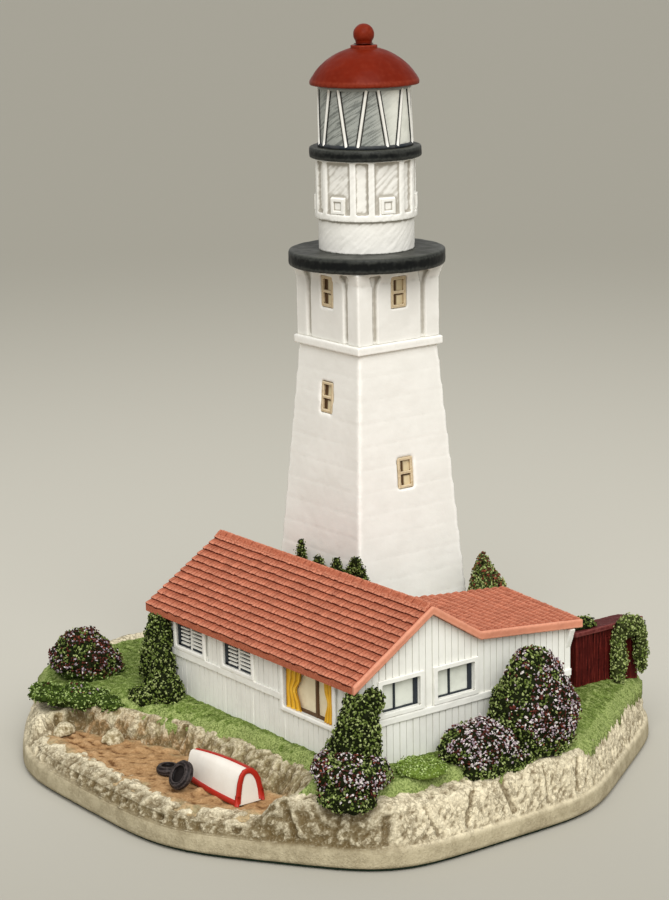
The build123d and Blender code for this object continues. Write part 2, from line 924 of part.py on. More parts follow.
# Main roof: stepped tile courses on both slopes, straight underneath
with BuildPart() as main_roof:
    with BuildSketch(Plane.YZ.offset(roof_left)):
        with BuildLine():
            Polyline(
                (front_eave, roof_under(front_eave)),
                *courses(front_eave, ridge_y, front_courses),
                *reversed(courses(kink_y, ridge_y, back_courses)[:-1]),
                (kink_y, roof_under(kink_y)),
                (ridge_y, roof_under(ridge_y)),
                close=True,
            )
        make_face()
    extrude(amount=roof_right - roof_left)
save(main_roof, "main_roof")

# Wing roof: one shallow slope whose eave runs a little out of square
wing_run = wing_eave + wing_skew - kink_y
with BuildPart() as wing_roof:
    with BuildSketch(Plane.YZ.offset(wing_roof_left)):
        with BuildLine():
            Polyline(
                (kink_y + wing_run, roof_under(kink_y + wing_run)),
                *courses(kink_y + wing_run, kink_y, wing_courses),
                (kink_y, roof_under(kink_y)),
                close=True,
            )
        make_face()
    extrude(amount=roof_right - wing_roof_left)
    with BuildSketch(Plane.XY):
        with BuildLine():
            Polyline(
                (wing_roof_left, kink_y),
                (roof_right, kink_y),
                (roof_right, wing_eave),
                (wing_roof_left, wing_eave + wing_skew),
                close=True,
            )
        make_face()
    extrude(amount=2 * ridge_level, mode=Mode.INTERSECT)
save(wing_roof, "wing_roof")

# Ridge cap bedded on the top courses of both slopes
top_front = ridge_y - cap_reach
top_back = ridge_y + cap_reach
back_run = (kink_y - ridge_y) / back_courses
with BuildPart() as ridge_cap:
    with BuildSketch(Plane.YZ.offset(roof_left)):
        with BuildLine():
            Polyline(
                (top_front, roof_line(top_front) + course_lap * cap_reach / course_run),
                (ridge_y, ridge_level),
                (top_back, roof_line(top_back) + course_lap * cap_reach / back_run),
                (top_back, roof_line(top_back) + course_lap * cap_reach / back_run + cap_thickness),
                (ridge_y, ridge_level + 2 * cap_thickness),
                (top_front, roof_line(top_front) + course_lap * cap_reach / course_run + cap_thickness),
                close=True,
            )
        make_face()
    extrude(amount=roof_right - roof_left)
save(ridge_cap, "ridge_cap")

# Fascia that follows the whole gable edge, from the front eave over the ridge to the wing's eave
rake = (front_eave, ridge_y, kink_y, wing_eave)
with BuildPart() as gable_fascia:
    with BuildSketch(Plane.YZ.offset(roof_right)):
        with BuildLine():
            Polyline(
                *[(y, roof_line(y) + course_lap) for y in rake],
                *[(y, roof_line(y) + course_lap - fascia_height) for y in reversed(rake)],
                close=True,
            )
        make_face()
    extrude(amount=fascia_thickness)
save(gable_fascia, "gable_fascia")

# Flat surrounds of the front and gable windows
for node, windows in (("front_surrounds", louvres + [picture]), ("gable_surrounds", gable_lights)):
    with BuildPart() as surrounds:
        for window in windows:
            with BuildSketch(opening_plane(window, 0)):
                add(surround_face(window))
            extrude(amount=surround_proud)
    save(surrounds, node)

# Panes on the floor of each recess
for node, windows in (
    ("louvre_backs", louvres),
    ("picture_pane", [picture]),
    ("gable_panes", gable_lights),
):
    with BuildPart() as panes:
        for window in windows:
            with BuildSketch(opening_plane(window, window_recess)):
                Rectangle(window[3] - 2 * fit_clearance, window[4] - 2 * fit_clearance)
            extrude(amount=pane_thickness)
    save(panes, node)

# Sashes in front of the panes
sash_back = window_recess - pane_thickness
for node, windows, lights in (
    ("louvre_frames", louvres, 2),
    ("picture_sash", [picture], 2),
    ("gable_sashes", gable_lights, 2),
):
    with BuildPart() as sashes:
        for window in windows:
            with BuildSketch(opening_plane(window, sash_back)):
                add(sash_face(window, lights))
            extrude(amount=sash_thickness)
    save(sashes, node)

# Tilted slats in both bays of each louvre window, resting on the frame's face
slat_bay = louvre_width / 2
slat_length = slat_bay - sash_bar - 2 * fit_clearance
slat_pitch = (louvre_height - 2 * sash_bar) / slats_per_bay
with BuildPart() as louvre_slats:
    for window in louvres:
        with BuildSketch(opening_plane(window, sash_back - sash_thickness)):
            for bay in (-1, 1):
                for slat in range(slats_per_bay):
                    with Locations((bay * slat_bay / 2, (slat - (slats_per_bay - 1) / 2) * slat_pitch)):
                        Rectangle(slat_length, slat_thickness)
        slat_fall = Vector(0, 0, -tan(radians(slat_tilt)))
        extrude(amount=slat_depth, dir=front_plane.z_dir + slat_fall)
save(louvre_slats, "louvre_slats")

# Curtains gathered to both sides of the picture window, hung on the sash
with BuildPart() as curtains:
    top = picture_height / 2 - fit_clearance
    edge = picture_width / 2 - fit_clearance
    tie = -top * curtain_tie
    with BuildSketch(opening_plane(picture, sash_back - sash_thickness)):
        for side in (-1, 1):
            with BuildLine():
                Polyline(
                    (side * edge, top),
                    (side * (edge - curtain_top), top),
                    (side * (edge - curtain_waist), tie),
                    (side * (edge - curtain_foot), -top),
                    (side * edge, -top),
                    close=True,
                )
            make_face()
    extrude(amount=curtain_thickness)
save(curtains, "curtains")

# Band along the front wall up to the picture window, and along the gable wall
picture_edge = picture_centre - picture_width / 2 - surround_width
with BuildPart() as wall_band:
    with Locations((house_left, front_wall, band_level)):
        Box(
            picture_edge - seat_gap - house_left,
            band_proud,
            band_height,
            align=(Align.MIN, Align.MAX, Align.MIN),
        )
    with Locations((gable_x, front_wall, band_level)):
        Box(
            band_proud,
            wing_end - front_wall,
            band_height,
            align=(Align.MIN, Align.MIN, Align.MIN),
        )
save(wall_band, "wall_band")

# Knee bracket under the fascia at the wing's outer corner
bracket_top = roof_line(wing_end) + course_lap - fascia_height - seat_gap
with BuildPart() as eave_bracket:
    with BuildSketch(Plane.XZ.offset(-wing_end)):
        with BuildLine():
            Polyline(
                (gable_x, bracket_top),
                (gable_x + bracket_reach, bracket_top),
                (gable_x, bracket_top - bracket_height),
                close=True,
            )
        make_face()
    extrude(amount=bracket_width)
save(eave_bracket, "eave_bracket")

# Back door of the house
with BuildPart() as back_door:
    with BuildSketch(rear_plane.offset(-door_recess)):
        with Locations((-back_door_x, lawn_level + back_door_height / 2)):
            Rectangle(back_door_width - 2 * fit_clearance, back_door_height - 2 * fit_clearance)
    extrude(amount=door_leaf)
save(back_door, "back_door")


# Garden shed: plank walls with a door recess, a flat roof and a door
shed_back = shed_front - shed_depth
shed_right = shed_left + shed_length
shed_planks = round(shed_length / shed_plank)
shed_door_y = shed_left + shed_door_offset


def shed_line(x):
    """Height of the shed walls' top, which falls towards the back."""
    return lawn_level + shed_height - (shed_front - x) * tan(radians(shed_fall))


with BuildPart() as shed_walls:
    with BuildSketch(Plane.XZ.offset(-shed_left)):
        with BuildLine():
            Polyline(
                (shed_front, lawn_bed),
                (shed_front, shed_line(shed_front)),
                (shed_back, shed_line(shed_back)),
                (shed_back, lawn_bed),
                close=True,
            )
        make_face()
    extrude(amount=-shed_length)
    add(lawn.part, mode=Mode.SUBTRACT)
    for seam in range(1, shed_planks):
        with Locations((shed_front, shed_left + seam * shed_length / shed_planks, lawn_level)):
            Box(
                2 * shed_groove,
                shed_groove,
                shed_height,
                align=(Align.CENTER, Align.CENTER, Align.MIN),
                mode=Mode.SUBTRACT,
            )
    with Locations((shed_front, shed_door_y, lawn_level)):
        Box(
            2 * door_recess,
            shed_door_width,
            shed_door_height,
            align=(Align.CENTER, Align.CENTER, Align.MIN),
            mode=Mode.SUBTRACT,
        )
save(shed_walls, "shed_walls")

with BuildPart() as shed_door:
    with Locations((shed_front - door_recess, shed_door_y, lawn_level)):
        Box(
            door_leaf,
            shed_door_width - 2 * fit_clearance,
            shed_door_height - fit_clearance,
            align=(Align.MIN, Align.CENTER, Align.MIN),
        )
save(shed_door, "shed_door")

shed_eave = shed_front + shed_roof_overhang
shed_tail = shed_back - shed_roof_overhang
with BuildPart() as shed_roof:
    with BuildSketch(Plane.XZ.offset(shed_roof_overhang - shed_left)):
        with BuildLine():
            Polyline(
                (shed_eave, shed_line(shed_eave)),
                (shed_eave, shed_line(shed_eave) + shed_roof_thickness),
                (shed_tail, shed_line(shed_tail) + shed_roof_thickness),
                (shed_tail, shed_line(shed_tail)),
                close=True,
            )
        make_face()
    extrude(amount=-shed_length - 2 * shed_roof_overhang)
save(shed_roof, "shed_roof")


# Boat lying keel up on the sand, its transom to the right
def hull_section(share):
    """Section across the hull: a steep near side, a round keel and a curved far side."""
    beam = boat_beam * share
    rise = boat_depth * share
    near, far = -beam / 2, beam / 2
    with BuildSketch() as section:
        with BuildLine():
            side = Line((near, 0), (near + hull_lean * beam, rise))
            turn = (near + hull_turn[0] * beam, hull_turn[1] * rise)
            ThreePointArc(side @ 1, turn, (far, hull_far_rise * rise))
            Line((far, hull_far_rise * rise), (far, 0))
            Line((far, 0), (near, 0))
        make_face()
    return section.sketch


boat_bow = boat_x - boat_length / 2
boat_stern = boat_x + boat_length / 2
boat_middle = boat_bow + boat_shoulder


def hull_plane(x):
    """Plane across the boat, with its local height along +Z and its origin on the sand."""
    return Plane(origin=(x, boat_y, sand_level), x_dir=(0, 1, 0), z_dir=(1, 0, 0))


with BuildPart() as boat_hull:
    for x, share in ((boat_bow, boat_bow_share), (boat_middle, 1.0), (boat_stern, 1.0)):
        with BuildSketch(hull_plane(x)):
            add(hull_section(share))
    loft(ruled=True)
save(boat_hull, "boat_hull")

# Painted trim board round the edge of the transom
with BuildPart() as boat_transom_trim:
    with BuildSketch(hull_plane(boat_stern)):
        add(hull_section(1.0))
        offset(hull_section(1.0), amount=-boat_trim, mode=Mode.SUBTRACT)
    extrude(amount=boat_trim_proud)
save(boat_transom_trim, "boat_transom_trim")


# Tyres: a turned ring with a dished middle on both faces
def tyre_profile(radius):
    """Half-section of a tyre beside its own axis, centred on its width."""
    rim = radius * tyre_rim_share
    half = tyre_width / 2
    with BuildSketch(Plane.XZ) as profile:
        with BuildLine():
            Polyline(
                (0, tyre_dish - half),
                (rim, tyre_dish - half),
                (rim, -half),
                (radius - tyre_dish, -half),
                (radius, tyre_dish - half),
                (radius, half - tyre_dish),
                (radius - tyre_dish, half),
                (rim, half),
                (rim, half - tyre_dish),
                (0, half - tyre_dish),
                close=True,
            )
        make_face()
    return profile.sketch


with BuildPart() as flat_tyre:
    with BuildSketch(Plane.XZ):
        add(tyre_profile(flat_tyre_radius))
    revolve(axis=Axis.Z)
flat_tyre.part.locate(Location((*flat_tyre_place, sand_level + tyre_width / 2)))
save(flat_tyre, "flat_tyre")

lean = radians(leaning_tyre_tilt)
leaning_height = leaning_tyre_radius * sin(lean) + tyre_width / 2 * cos(lean)
with BuildPart() as leaning_tyre:
    with BuildSketch(Plane.XZ):
        add(tyre_profile(leaning_tyre_radius))
    revolve(axis=Axis.Z)
leaning_tyre.part.locate(
    Location((*leaning_tyre_place, sand_level + leaning_height), (leaning_tyre_tilt, 0, 0))
)
save(leaning_tyre, "leaning_tyre")


def lump(centre, foot, sections):
    """Rounded clump lofted through ellipses: each a height above the foot and two half-widths."""
    with BuildPart() as clump:
        for height, half_x, half_y in sections:
            with BuildSketch(Plane.XY.offset(foot + height)):
                with Locations(centre):
                    Ellipse(half_x, half_y)
        loft()
    return clump.part


def rooted(centre, sections):
    """Clump on the lawn that reaches down past the lawn's rolled edge to the rock."""
    _, half_x, half_y = sections[0]
    root = (lawn_bed - lawn_level, half_x, half_y)
    return lump(centre, lawn_level, [root, *sections]) - lawn.part


def dome_sections(half_x, half_y, height, foot_share=0.86):
    """Sections of a bush that swells a little above its foot and rounds over at the top."""
    shape = ((0, foot_share), (0.3, 1.0), (0.62, 0.9), (0.86, 0.6), (1.0, 0.22))
    return [(height * rise, half_x * share, half_y * share) for rise, share in shape]


def clear_of_house():
    """Block that cuts a plant back from the house's walls."""
    with Locations((house_left - ivy_standoff, front_wall - ivy_standoff, 0)):
        Box(
            gable_x - house_left + 2 * ivy_standoff,
            wing_end - front_wall + 2 * ivy_standoff,
            2 * ridge_level,
            align=Align.MIN,
            mode=Mode.SUBTRACT,
        )


# Ivy up the two front corners of the house
ivy_height = roof_under(front_eave) - ivy_headroom - lawn_level
ivy_shape = ((0, 0.85), (0.35, 1.0), (0.7, 0.86), (1.0, 0.5))
ivy_sections = [(ivy_height * rise, ivy_radius * share, ivy_radius * share) for rise, share in ivy_shape]
left_ivy_place = (house_left, front_wall - ivy_offset)
front_ivy_place = (gable_x + ivy_offset, front_wall - ivy_offset)
for node, place in (("left_corner_ivy", left_ivy_place), ("front_corner_ivy", front_ivy_place)):
    with BuildPart() as ivy:
        add(rooted(place, ivy_sections))
        clear_of_house()
    save(ivy, node)

# Flowering bush on the left of the lawn
with BuildPart() as left_bush:
    add(rooted(left_bush_place, dome_sections(left_bush_half, left_bush_half, left_bush_height)))
save(left_bush, "left_bush")

# Flower bed round the foot of the front ivy
front_bed_place = (gable_x + front_bed_offset[0], front_wall - front_bed_offset[1])
with BuildPart() as front_flower_bed:
    add(rooted(front_bed_place, dome_sections(*front_bed_half, front_bed_height)))
    clear_of_house()
    with Locations((*front_ivy_place, lawn_bed)):
        Cylinder(
            ivy_radius + bush_clearance,
            ridge_level,
            align=(Align.CENTER, Align.CENTER, Align.MIN),
            mode=Mode.SUBTRACT,
        )
save(front_flower_bed, "front_flower_bed")

# Along the gable wall: tall cone bush, flower bed, grass mound
cone_bush_place = (gable_x + cone_bush_offset, cone_bush_y)
gable_bed_y = cone_bush_y - gable_bed_spacing
grass_mound_y = gable_bed_y - gable_bed_half[1] - grass_mound_half[1] - bed_gap
cone_shape = ((0, 0.9), (0.25, 1.0), (0.6, 0.8), (0.85, 0.5), (1.0, 0.2))
with BuildPart() as cone_bush:
    add(
        rooted(
            cone_bush_place,
            [
                (cone_bush_height * rise, cone_bush_half[0] * share, cone_bush_half[1] * share)
                for rise, share in cone_shape
            ],
        )
    )
    clear_of_house()
save(cone_bush, "cone_bush")

with BuildPart() as gable_flower_bed:
    add(rooted((gable_x + gable_bed_offset, gable_bed_y), dome_sections(*gable_bed_half, gable_bed_height)))
    clear_of_house()
    with BuildSketch(Plane.XY.offset(lawn_bed)):
        with Locations(cone_bush_place):
            Ellipse(cone_bush_half[0] + bush_clearance, cone_bush_half[1] + bush_clearance)
    extrude(amount=ridge_level, mode=Mode.SUBTRACT)
save(gable_flower_bed, "gable_flower_bed")

with BuildPart() as grass_mound:
    add(
        rooted(
            (gable_x + gable_bed_offset, grass_mound_y),
            dome_sections(*grass_mound_half, grass_mound_height),
        )
    )
    clear_of_house()
save(grass_mound, "grass_mound")

# Tall bush behind the tower
tower_bush_shape = ((0, 0.72), (0.3, 0.95), (0.6, 1.0), (0.85, 0.7), (1.0, 0.24))
with BuildPart() as tower_bush:
    add(
        lump(
            (tower_x + tower_bush_offset[0], tower_y + tower_bush_offset[1]),
            lawn_level,
            [
                (tower_bush_height * rise, tower_bush_half * share, tower_bush_half * share)
                for rise, share in tower_bush_shape
            ],
        )
    )
save(tower_bush, "tower_bush")

# Ivy down the right end of the shed, and a clump along the front of its roof
with BuildPart() as shed_ivy:
    add(
        rooted(
            (shed_front + shed_ivy_offset[0], shed_right - shed_ivy_offset[1]),
            dome_sections(*shed_ivy_half, shed_ivy_height),
        )
    )
    with BuildSketch(Plane.XZ.offset(shed_roof_overhang + seat_gap - shed_left)):
        with BuildLine():
            Polyline(
                (shed_eave + seat_gap, lawn_bed),
                (shed_eave + seat_gap, shed_line(shed_eave) + shed_roof_thickness + seat_gap),
                (shed_tail - seat_gap, shed_line(shed_tail) + shed_roof_thickness + seat_gap),
                (shed_tail - seat_gap, lawn_bed),
                close=True,
            )
        make_face()
    extrude(amount=-shed_length - 2 * (shed_roof_overhang + seat_gap), mode=Mode.SUBTRACT)
save(shed_ivy, "shed_ivy")

with BuildPart() as shed_roof_ivy:
    add(
        lump(
            (shed_front - roof_ivy_half[0], shed_left + roof_ivy_offset),
            shed_line(shed_back),
            dome_sections(*roof_ivy_half, roof_ivy_height),
        )
    )
    with BuildSketch(Plane.XZ):
        with BuildLine():
            Polyline(
                (shed_eave, 0),
                (shed_eave, shed_line(shed_eave) + shed_roof_thickness),
                (shed_tail, shed_line(shed_tail) + shed_roof_thickness),
                (shed_tail, 0),
                close=True,
            )
        make_face()
    extrude(amount=-base_depth, mode=Mode.SUBTRACT)
save(shed_roof_ivy, "shed_roof_ivy")

# Pointed shrubs, pressed flat between the house's back eave and the tower
spiky_front = kink_y + bush_clearance
spiky_thickness = tower_gap - 2 * bush_clearance


def spiky_outline(x, half, height):
    """Outline of one shrub: a narrow foot, a wide shoulder and a pointed tip."""
    foot = half * spiky_foot
    shoulder = lawn_level + height * spiky_shoulder
    return [
        (x - foot, lawn_level),
        (x - half, shoulder),
        (x, lawn_level + height),
        (x + half, shoulder),
        (x + foot, lawn_level),
    ]


with BuildPart() as spiky_plants_row:
    with BuildSketch(Plane.XZ.offset(-spiky_front)):
        for offset_x, half, height in spiky_plants:
            with BuildLine():
                Polyline(*spiky_outline(tower_x + offset_x, half, height), close=True)
            make_face()
    extrude(amount=-spiky_thickness)
save(spiky_plants_row, "spiky_plants")

# Boulders lying on the sand
with BuildPart() as boulders:
    for place, radius in boulder_places:
        for rise, share in boulder_shape:
            with BuildSketch(Plane.XY.offset(sand_level + rise * radius * boulder_rise)):
                with Locations(place):
                    RegularPolygon(radius * share, boulder_sides)
        loft(ruled=True)
save(boulders, "boulders")
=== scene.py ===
"""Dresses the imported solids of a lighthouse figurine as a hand-painted casting on a pale floor."""

import math

import bmesh
import bpy
import numpy as np
from bpy.props import FloatProperty, FloatVectorProperty, IntProperty, PointerProperty
from mathutils import Matrix, Vector, geometry, noise
from mathutils.bvhtree import BVHTree


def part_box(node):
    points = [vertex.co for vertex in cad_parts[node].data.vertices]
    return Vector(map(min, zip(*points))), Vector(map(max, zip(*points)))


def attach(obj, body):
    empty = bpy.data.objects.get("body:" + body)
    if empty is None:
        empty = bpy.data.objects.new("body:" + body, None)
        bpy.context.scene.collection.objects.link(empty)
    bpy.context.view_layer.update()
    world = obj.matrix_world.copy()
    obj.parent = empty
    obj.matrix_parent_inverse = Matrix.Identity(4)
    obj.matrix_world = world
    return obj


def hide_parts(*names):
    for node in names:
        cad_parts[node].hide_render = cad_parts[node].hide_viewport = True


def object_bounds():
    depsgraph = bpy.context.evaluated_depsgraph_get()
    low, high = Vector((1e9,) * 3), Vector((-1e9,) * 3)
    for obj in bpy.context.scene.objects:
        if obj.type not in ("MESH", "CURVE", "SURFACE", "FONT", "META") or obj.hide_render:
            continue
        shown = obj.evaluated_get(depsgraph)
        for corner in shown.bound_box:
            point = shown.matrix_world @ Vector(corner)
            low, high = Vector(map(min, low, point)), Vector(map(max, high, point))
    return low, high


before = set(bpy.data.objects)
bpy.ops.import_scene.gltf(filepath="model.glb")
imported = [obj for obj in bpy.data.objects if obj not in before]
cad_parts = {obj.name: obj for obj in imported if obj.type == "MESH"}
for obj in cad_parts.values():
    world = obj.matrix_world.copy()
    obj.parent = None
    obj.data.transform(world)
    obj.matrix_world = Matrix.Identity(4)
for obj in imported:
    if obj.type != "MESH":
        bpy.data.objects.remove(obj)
CAD_LOW, CAD_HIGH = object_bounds()

bl_info = {
    "name": "Lighthouse Figurine",
    "version": (1, 0, 0),
    "blender": (4, 5, 0),
    "location": "View3D > Sidebar > Lighthouse",
    "description": "Dresses the solids of a lighthouse figurine as a hand-painted casting",
    "category": "Object",
}

MM = 0.001
# Share of a whole turn over which the corners of the base are eased in plan
CORNER_EASE = 0.0147
# Height under which a plant shows its foot's leaves, from -1 at the foot to 1 at the top
COVER_HEIGHT = -0.22
# Direction in plan to the right of the photograph
RIGHTWARD = (0.6, 0.8)
# Direction from the figurine to the key light, and the colour of all light
KEY_FROM = (0.61, -0.35, 0.71)
DAYLIGHT = (1.0, 0.992, 0.975)
# Faces of a block over its eight corners
BLOCK_FACES = ((0, 2, 3, 1), (4, 5, 7, 6), (0, 1, 5, 4), (2, 6, 7, 3), (0, 4, 6, 2), (1, 3, 7, 5))
# Faces of a leaf over its two ends, two sides, top and underside
LEAF_FACES = ((0, 2, 4), (2, 1, 4), (1, 3, 4), (3, 0, 4), (2, 0, 5), (1, 2, 5), (3, 1, 5), (0, 3, 5))
# Points across a roof tile: place, share of the crown and tone
TILE_PARTS = ((0.0, 0.0, 0.5), (0.14, 0.7, 0.95), (0.5, 1.0, 1.0), (0.86, 0.7, 0.95), (1.0, 0.0, 0.5))
# Rows of points up a course of tiles: share of the course, share of the lap, wash with painted shade, and
# painted highlight
TILE_ROWS = (
    (0.0, -0.3, 1.0, 0.0), (0.0, 0.72, 1.0, 0.0), (0.02, 0.95, 0.0, 0.7), (0.16, 1.0, 0.0, 0.6),
    (0.5, 0.75, 0.0, 0.1), (0.86, 0.4, 0.15, 0.0), (1.12, 0.05, 0.9, 0.0),
)


def paint(red, green, blue):
    """An 8-bit colour as seen on screen, as linear RGBA."""
    shown = np.array([red, green, blue]) / 255
    linear = np.where(shown <= 0.04045, shown / 12.92, ((shown + 0.055) / 1.055) ** 2.4)
    return (*linear.tolist(), 1.0)


def colour(name, description, red, green, blue):
    """A colour setting."""
    return FloatVectorProperty(
        name=name, description=description, default=paint(red, green, blue), size=4,
        subtype="COLOR", min=0, max=1,
    )


def length(name, description, millimetres):
    """A length setting, given in millimetres."""
    return FloatProperty(
        name=name, description=description, default=millimetres * MM, min=0, unit="LENGTH",
        precision=5,
    )


class LighthouseGround(bpy.types.PropertyGroup):
    """Sizes and colours of the base, the beach and the lawn."""

    rim_height: length("Rim height", "Top of the smooth band round the foot of the rock", 3.7)
    bank_foot: length("Bank foot", "From the edge of the base to the foot of the bank", 0.5)
    bank_head: length("Bank head", "From the edge of the base to the head of the bank", 2.4)
    bank_round: length("Bank rounding", "How far the head of the bank rounds over", 0.9)
    rock_relief: length("Rock relief", "How far the rock stands out of its bank", 0.6)
    lawn_edge: length("Lawn edge", "From the edge of the base to the grass", 2.7)
    lawn_retreat: length("Lawn retreat", "How far the grass draws back in front", 3.4)
    lawn_drop: length("Lawn drop", "How far the grass sinks into the rock at its edge", 1.5)
    grass_stipple: length("Grass stipple", "Height of the stippled grass", 0.22)
    sand_relief: length("Sand relief", "Height of the dents in the sand", 0.3)
    rock: colour("Rock", "Paint on the rock", 234, 222, 191)
    # Darker paint on the front of the rock, partly stain and partly painted shade.
    rock_front_stain_and_shade: colour("Stained and shaded rock", "Paint on the front of the rock", 128, 115, 87)
    rock_dull: colour("Dull rock", "Paint on the rock round the beach", 162, 151, 116)
    plinth: colour("Plinth", "Paint on the band round the foot", 184, 173, 144)
    rock_wash: colour("Rock wash", "Dark wash in the hollows of the rock", 96, 78, 46)
    rock_light: colour("Rock light", "Light brushing on the rock", 244, 234, 204)
    sand: colour("Sand", "Paint on the beach", 176, 139, 97)
    grass: colour("Grass", "Paint on the lawn", 107, 127, 58)
    grass_wash: colour("Grass wash", "Dark wash in the grass", 52, 66, 16)
    grass_light: colour("Grass light", "Light brushing on the grass", 178, 190, 122)
    felt: colour("Felt", "The felt under the base", 42, 58, 44)


class LighthouseBuildings(bpy.types.PropertyGroup):
    """Sizes and colours of the tower, the house and the shed."""

    board_pitch: length("Board pitch", "Spacing of the upright wall boards", 1.45)
    board_gap: length("Board gap", "Groove between two boards", 0.17)
    board_depth: length("Board depth", "Depth of the grooves", 0.3)
    tile_pitch: length("Tile pitch", "Width of a roof tile", 0.95)
    tile_lap: length("Tile lap", "How far a course stands over the one below", 0.36)
    tile_crown: length("Tile crown", "How far a tile bulges between its edges", 0.12)
    ridge_height: length("Ridge height", "Height of the main roof's ridge", 40.0)
    eave_height: length("Eave height", "Height of the main roof's front eave", 29.19)
    kink_height: length("Kink height", "Height where the main roof meets the wing roof", 33.31)
    wing_eave_height: length("Wing eave height", "Height of the wing roof's eave", 30.81)
    wing_eave_place: length("Wing eave place", "Place of the wing roof's eave towards the back", 23.0)
    bar_width: length("Bar width", "White part of a lantern bar", 0.55)
    bar_line: length("Bar line", "Black line along each side of a lantern bar", 0.24)
    tower_white: colour("Tower white", "Paint on the tower", 240, 238, 231)
    house_white: colour("House white", "Paint on the walls", 240, 240, 232)
    shade: colour("Shade", "Wash in the grooves of the white paint", 146, 138, 122)
    black: colour("Black", "Paint on the galleries", 17, 19, 19)
    # Painted highlight: the galleries' upward faces take this lighter black.
    top_lit_black: colour("Top-lit black", "Black paint where it faces up", 62, 63, 57)
    dome: colour("Dome", "Paint on the dome", 112, 30, 11)
    tile: colour("Tile", "Paint on the roof tiles", 181, 103, 76)
    # Tile wash and tile light also carry the painted shade under each course and the painted highlight on the
    # tiles' lips.
    tile_wash: colour("Tile wash", "Dark wash between the tiles", 86, 22, 8)
    tile_light: colour("Tile light", "Light brushing on the tiles' edges", 220, 150, 122)
    fascia: colour("Fascia", "Paint on the gable boards", 211, 139, 110)
    tan: colour("Tan", "Paint on the tower's window frames", 206, 184, 146)
    glass: colour("Lantern glass", "Paint on the lantern's panes", 162, 165, 158)
    glass_stroke: colour("Glass stroke", "Brush strokes on the lantern's panes", 112, 115, 110)
    glass_bright: colour("Bright glass", "Paint on the panes that face the light", 240, 240, 228)
    pane_cream: colour("Pane cream", "Paint on the tower's panes", 222, 206, 168)
    pane_brown: colour("Pane brown", "Shade painted on the tower's panes", 84, 60, 36)
    slate: colour("Slate", "Paint on the dark window frames", 44, 50, 56)
    curtain: colour("Curtain", "Paint on the curtains", 226, 174, 40)
    shed: colour("Shed", "Paint on the shed", 74, 19, 15)


class LighthousePlants(bpy.types.PropertyGroup):
    """Sizes and colours of the plants."""

    leaf_length: length("Leaf length", "Length of one leaf", 0.66)
    leaf_width: length("Leaf width", "Width of one leaf", 0.42)
    leaf_cover: FloatProperty(
        name="Leaf cover", description="Leaves on one square millimetre", default=8.0, min=0
    )
    seed: IntProperty(name="Seed", description="Start of the random scatter", default=7)
    leaf_dark: colour("Leaf dark", "Leaves deep in a plant", 22, 28, 6)
    leaf_green: colour("Leaf green", "Most leaves", 100, 116, 54)
    leaf_light: colour("Leaf light", "Leaf tips that catch the brush", 160, 172, 110)
    maroon: colour("Maroon", "Flowering stems", 86, 42, 36)
    petal: colour("Petal", "Pale petals", 222, 214, 210)
    lilac: colour("Lilac", "Lilac petals", 176, 158, 168)
    rust: colour("Rust", "Rust-coloured petals", 132, 68, 50)


class LighthouseStage(bpy.types.PropertyGroup):
    """The floor, the light and the camera."""

    floor: colour("Floor", "Floor near the figurine", 194, 191, 180)
    floor_close: colour("Close floor", "Floor in front of the figurine", 176, 173, 162)
    floor_far: colour("Far floor", "Floor in the distance", 153, 150, 139)
    key: FloatProperty(name="Key", description="Strength of the key light", default=2.75, min=0)
    key_spread: FloatProperty(
        name="Key spread", description="How wide the key light looks from the figurine",
        default=math.radians(50), min=0, max=math.pi, subtype="ANGLE",
    )
    sky: FloatProperty(name="Sky", description="Strength of the even light", default=0.56, min=0)
    lens: FloatProperty(name="Lens", description="Focal length in millimetres", default=100.0, min=1)
    camera_place: FloatVectorProperty(
        name="Camera", description="Place of the camera", subtype="TRANSLATION",
        default=(359.661 * MM, -269.729 * MM, 164.419 * MM),
    )
    camera_turn: FloatVectorProperty(
        name="Turn", description="Heading, downward pitch and roll of the camera",
        subtype="EULER", default=tuple(math.radians(a) for a in (53.227, 13.253, -1.0204)),
    )


def points_of(mesh):
    """The mesh's vertices as an array."""
    flat = np.empty(len(mesh.vertices) * 3)
    mesh.vertices.foreach_get("co", flat)
    return flat.reshape(-1, 3)


def normals_of(mesh):
    """The mesh's vertex normals as an array."""
    flat = np.empty(len(mesh.vertices) * 3)
    mesh.vertex_normals.foreach_get("vector", flat)
    return flat.reshape(-1, 3)


def move_points(mesh, points):
    """Put the mesh's vertices at new points."""
    mesh.vertices.foreach_set("co", np.ascontiguousarray(points).ravel())
    mesh.update()


def sample(function, points, size, *extra):
    """A noise function at points, with its features about one size across."""
    return np.array([function(Vector(point), *extra) for point in np.asarray(points) / size])


def fractal(points, size, octaves=4):
    """Even noise about zero."""
    return sample(noise.fractal, points, size, 0.9, 2.1, octaves)


def crags(points, size):
    """Noise about zero with sharp ridges."""
    return 0.5 - 2 * np.abs(sample(noise.noise, points, size))


def chunks(points, size):
    """Rounded lumps with narrow cracks between them: about 1 on a lump, 0 in a crack."""
    found = sample(lambda point: noise.voronoi(point)[0], points, size)
    return np.clip((found[:, 1] - found[:, 0]) * 2.2, 0, 1)


def slanted(points, lean, squeeze):
    """Points turned about the upright axis with their height: noise read there leans and stretches."""
    turn = points[:, 2] * lean
    return np.column_stack([
        points[:, 0] * np.cos(turn) - points[:, 1] * np.sin(turn),
        points[:, 0] * np.sin(turn) + points[:, 1] * np.cos(turn), points[:, 2] * squeeze,
    ])


def blend_tints(first, second, share):
    """Colours between two paints, one for each share."""
    first, second = np.asarray(first), np.asarray(second)
    return first + (second - first) * np.asarray(share)[:, None]


def step(low, high, values):
    """A smooth step from 0 at low to 1 at high."""
    share = np.clip((np.asarray(values) - low) / (high - low), 0, 1)
    return share * share * (3 - 2 * share)


def groove(values, pitch, depth, width):
    """Depth of the rounded grooves that repeat along values."""
    away = np.abs((values / pitch) % 1 - 0.5) * pitch
    return depth * np.exp(-((away / width) ** 2))


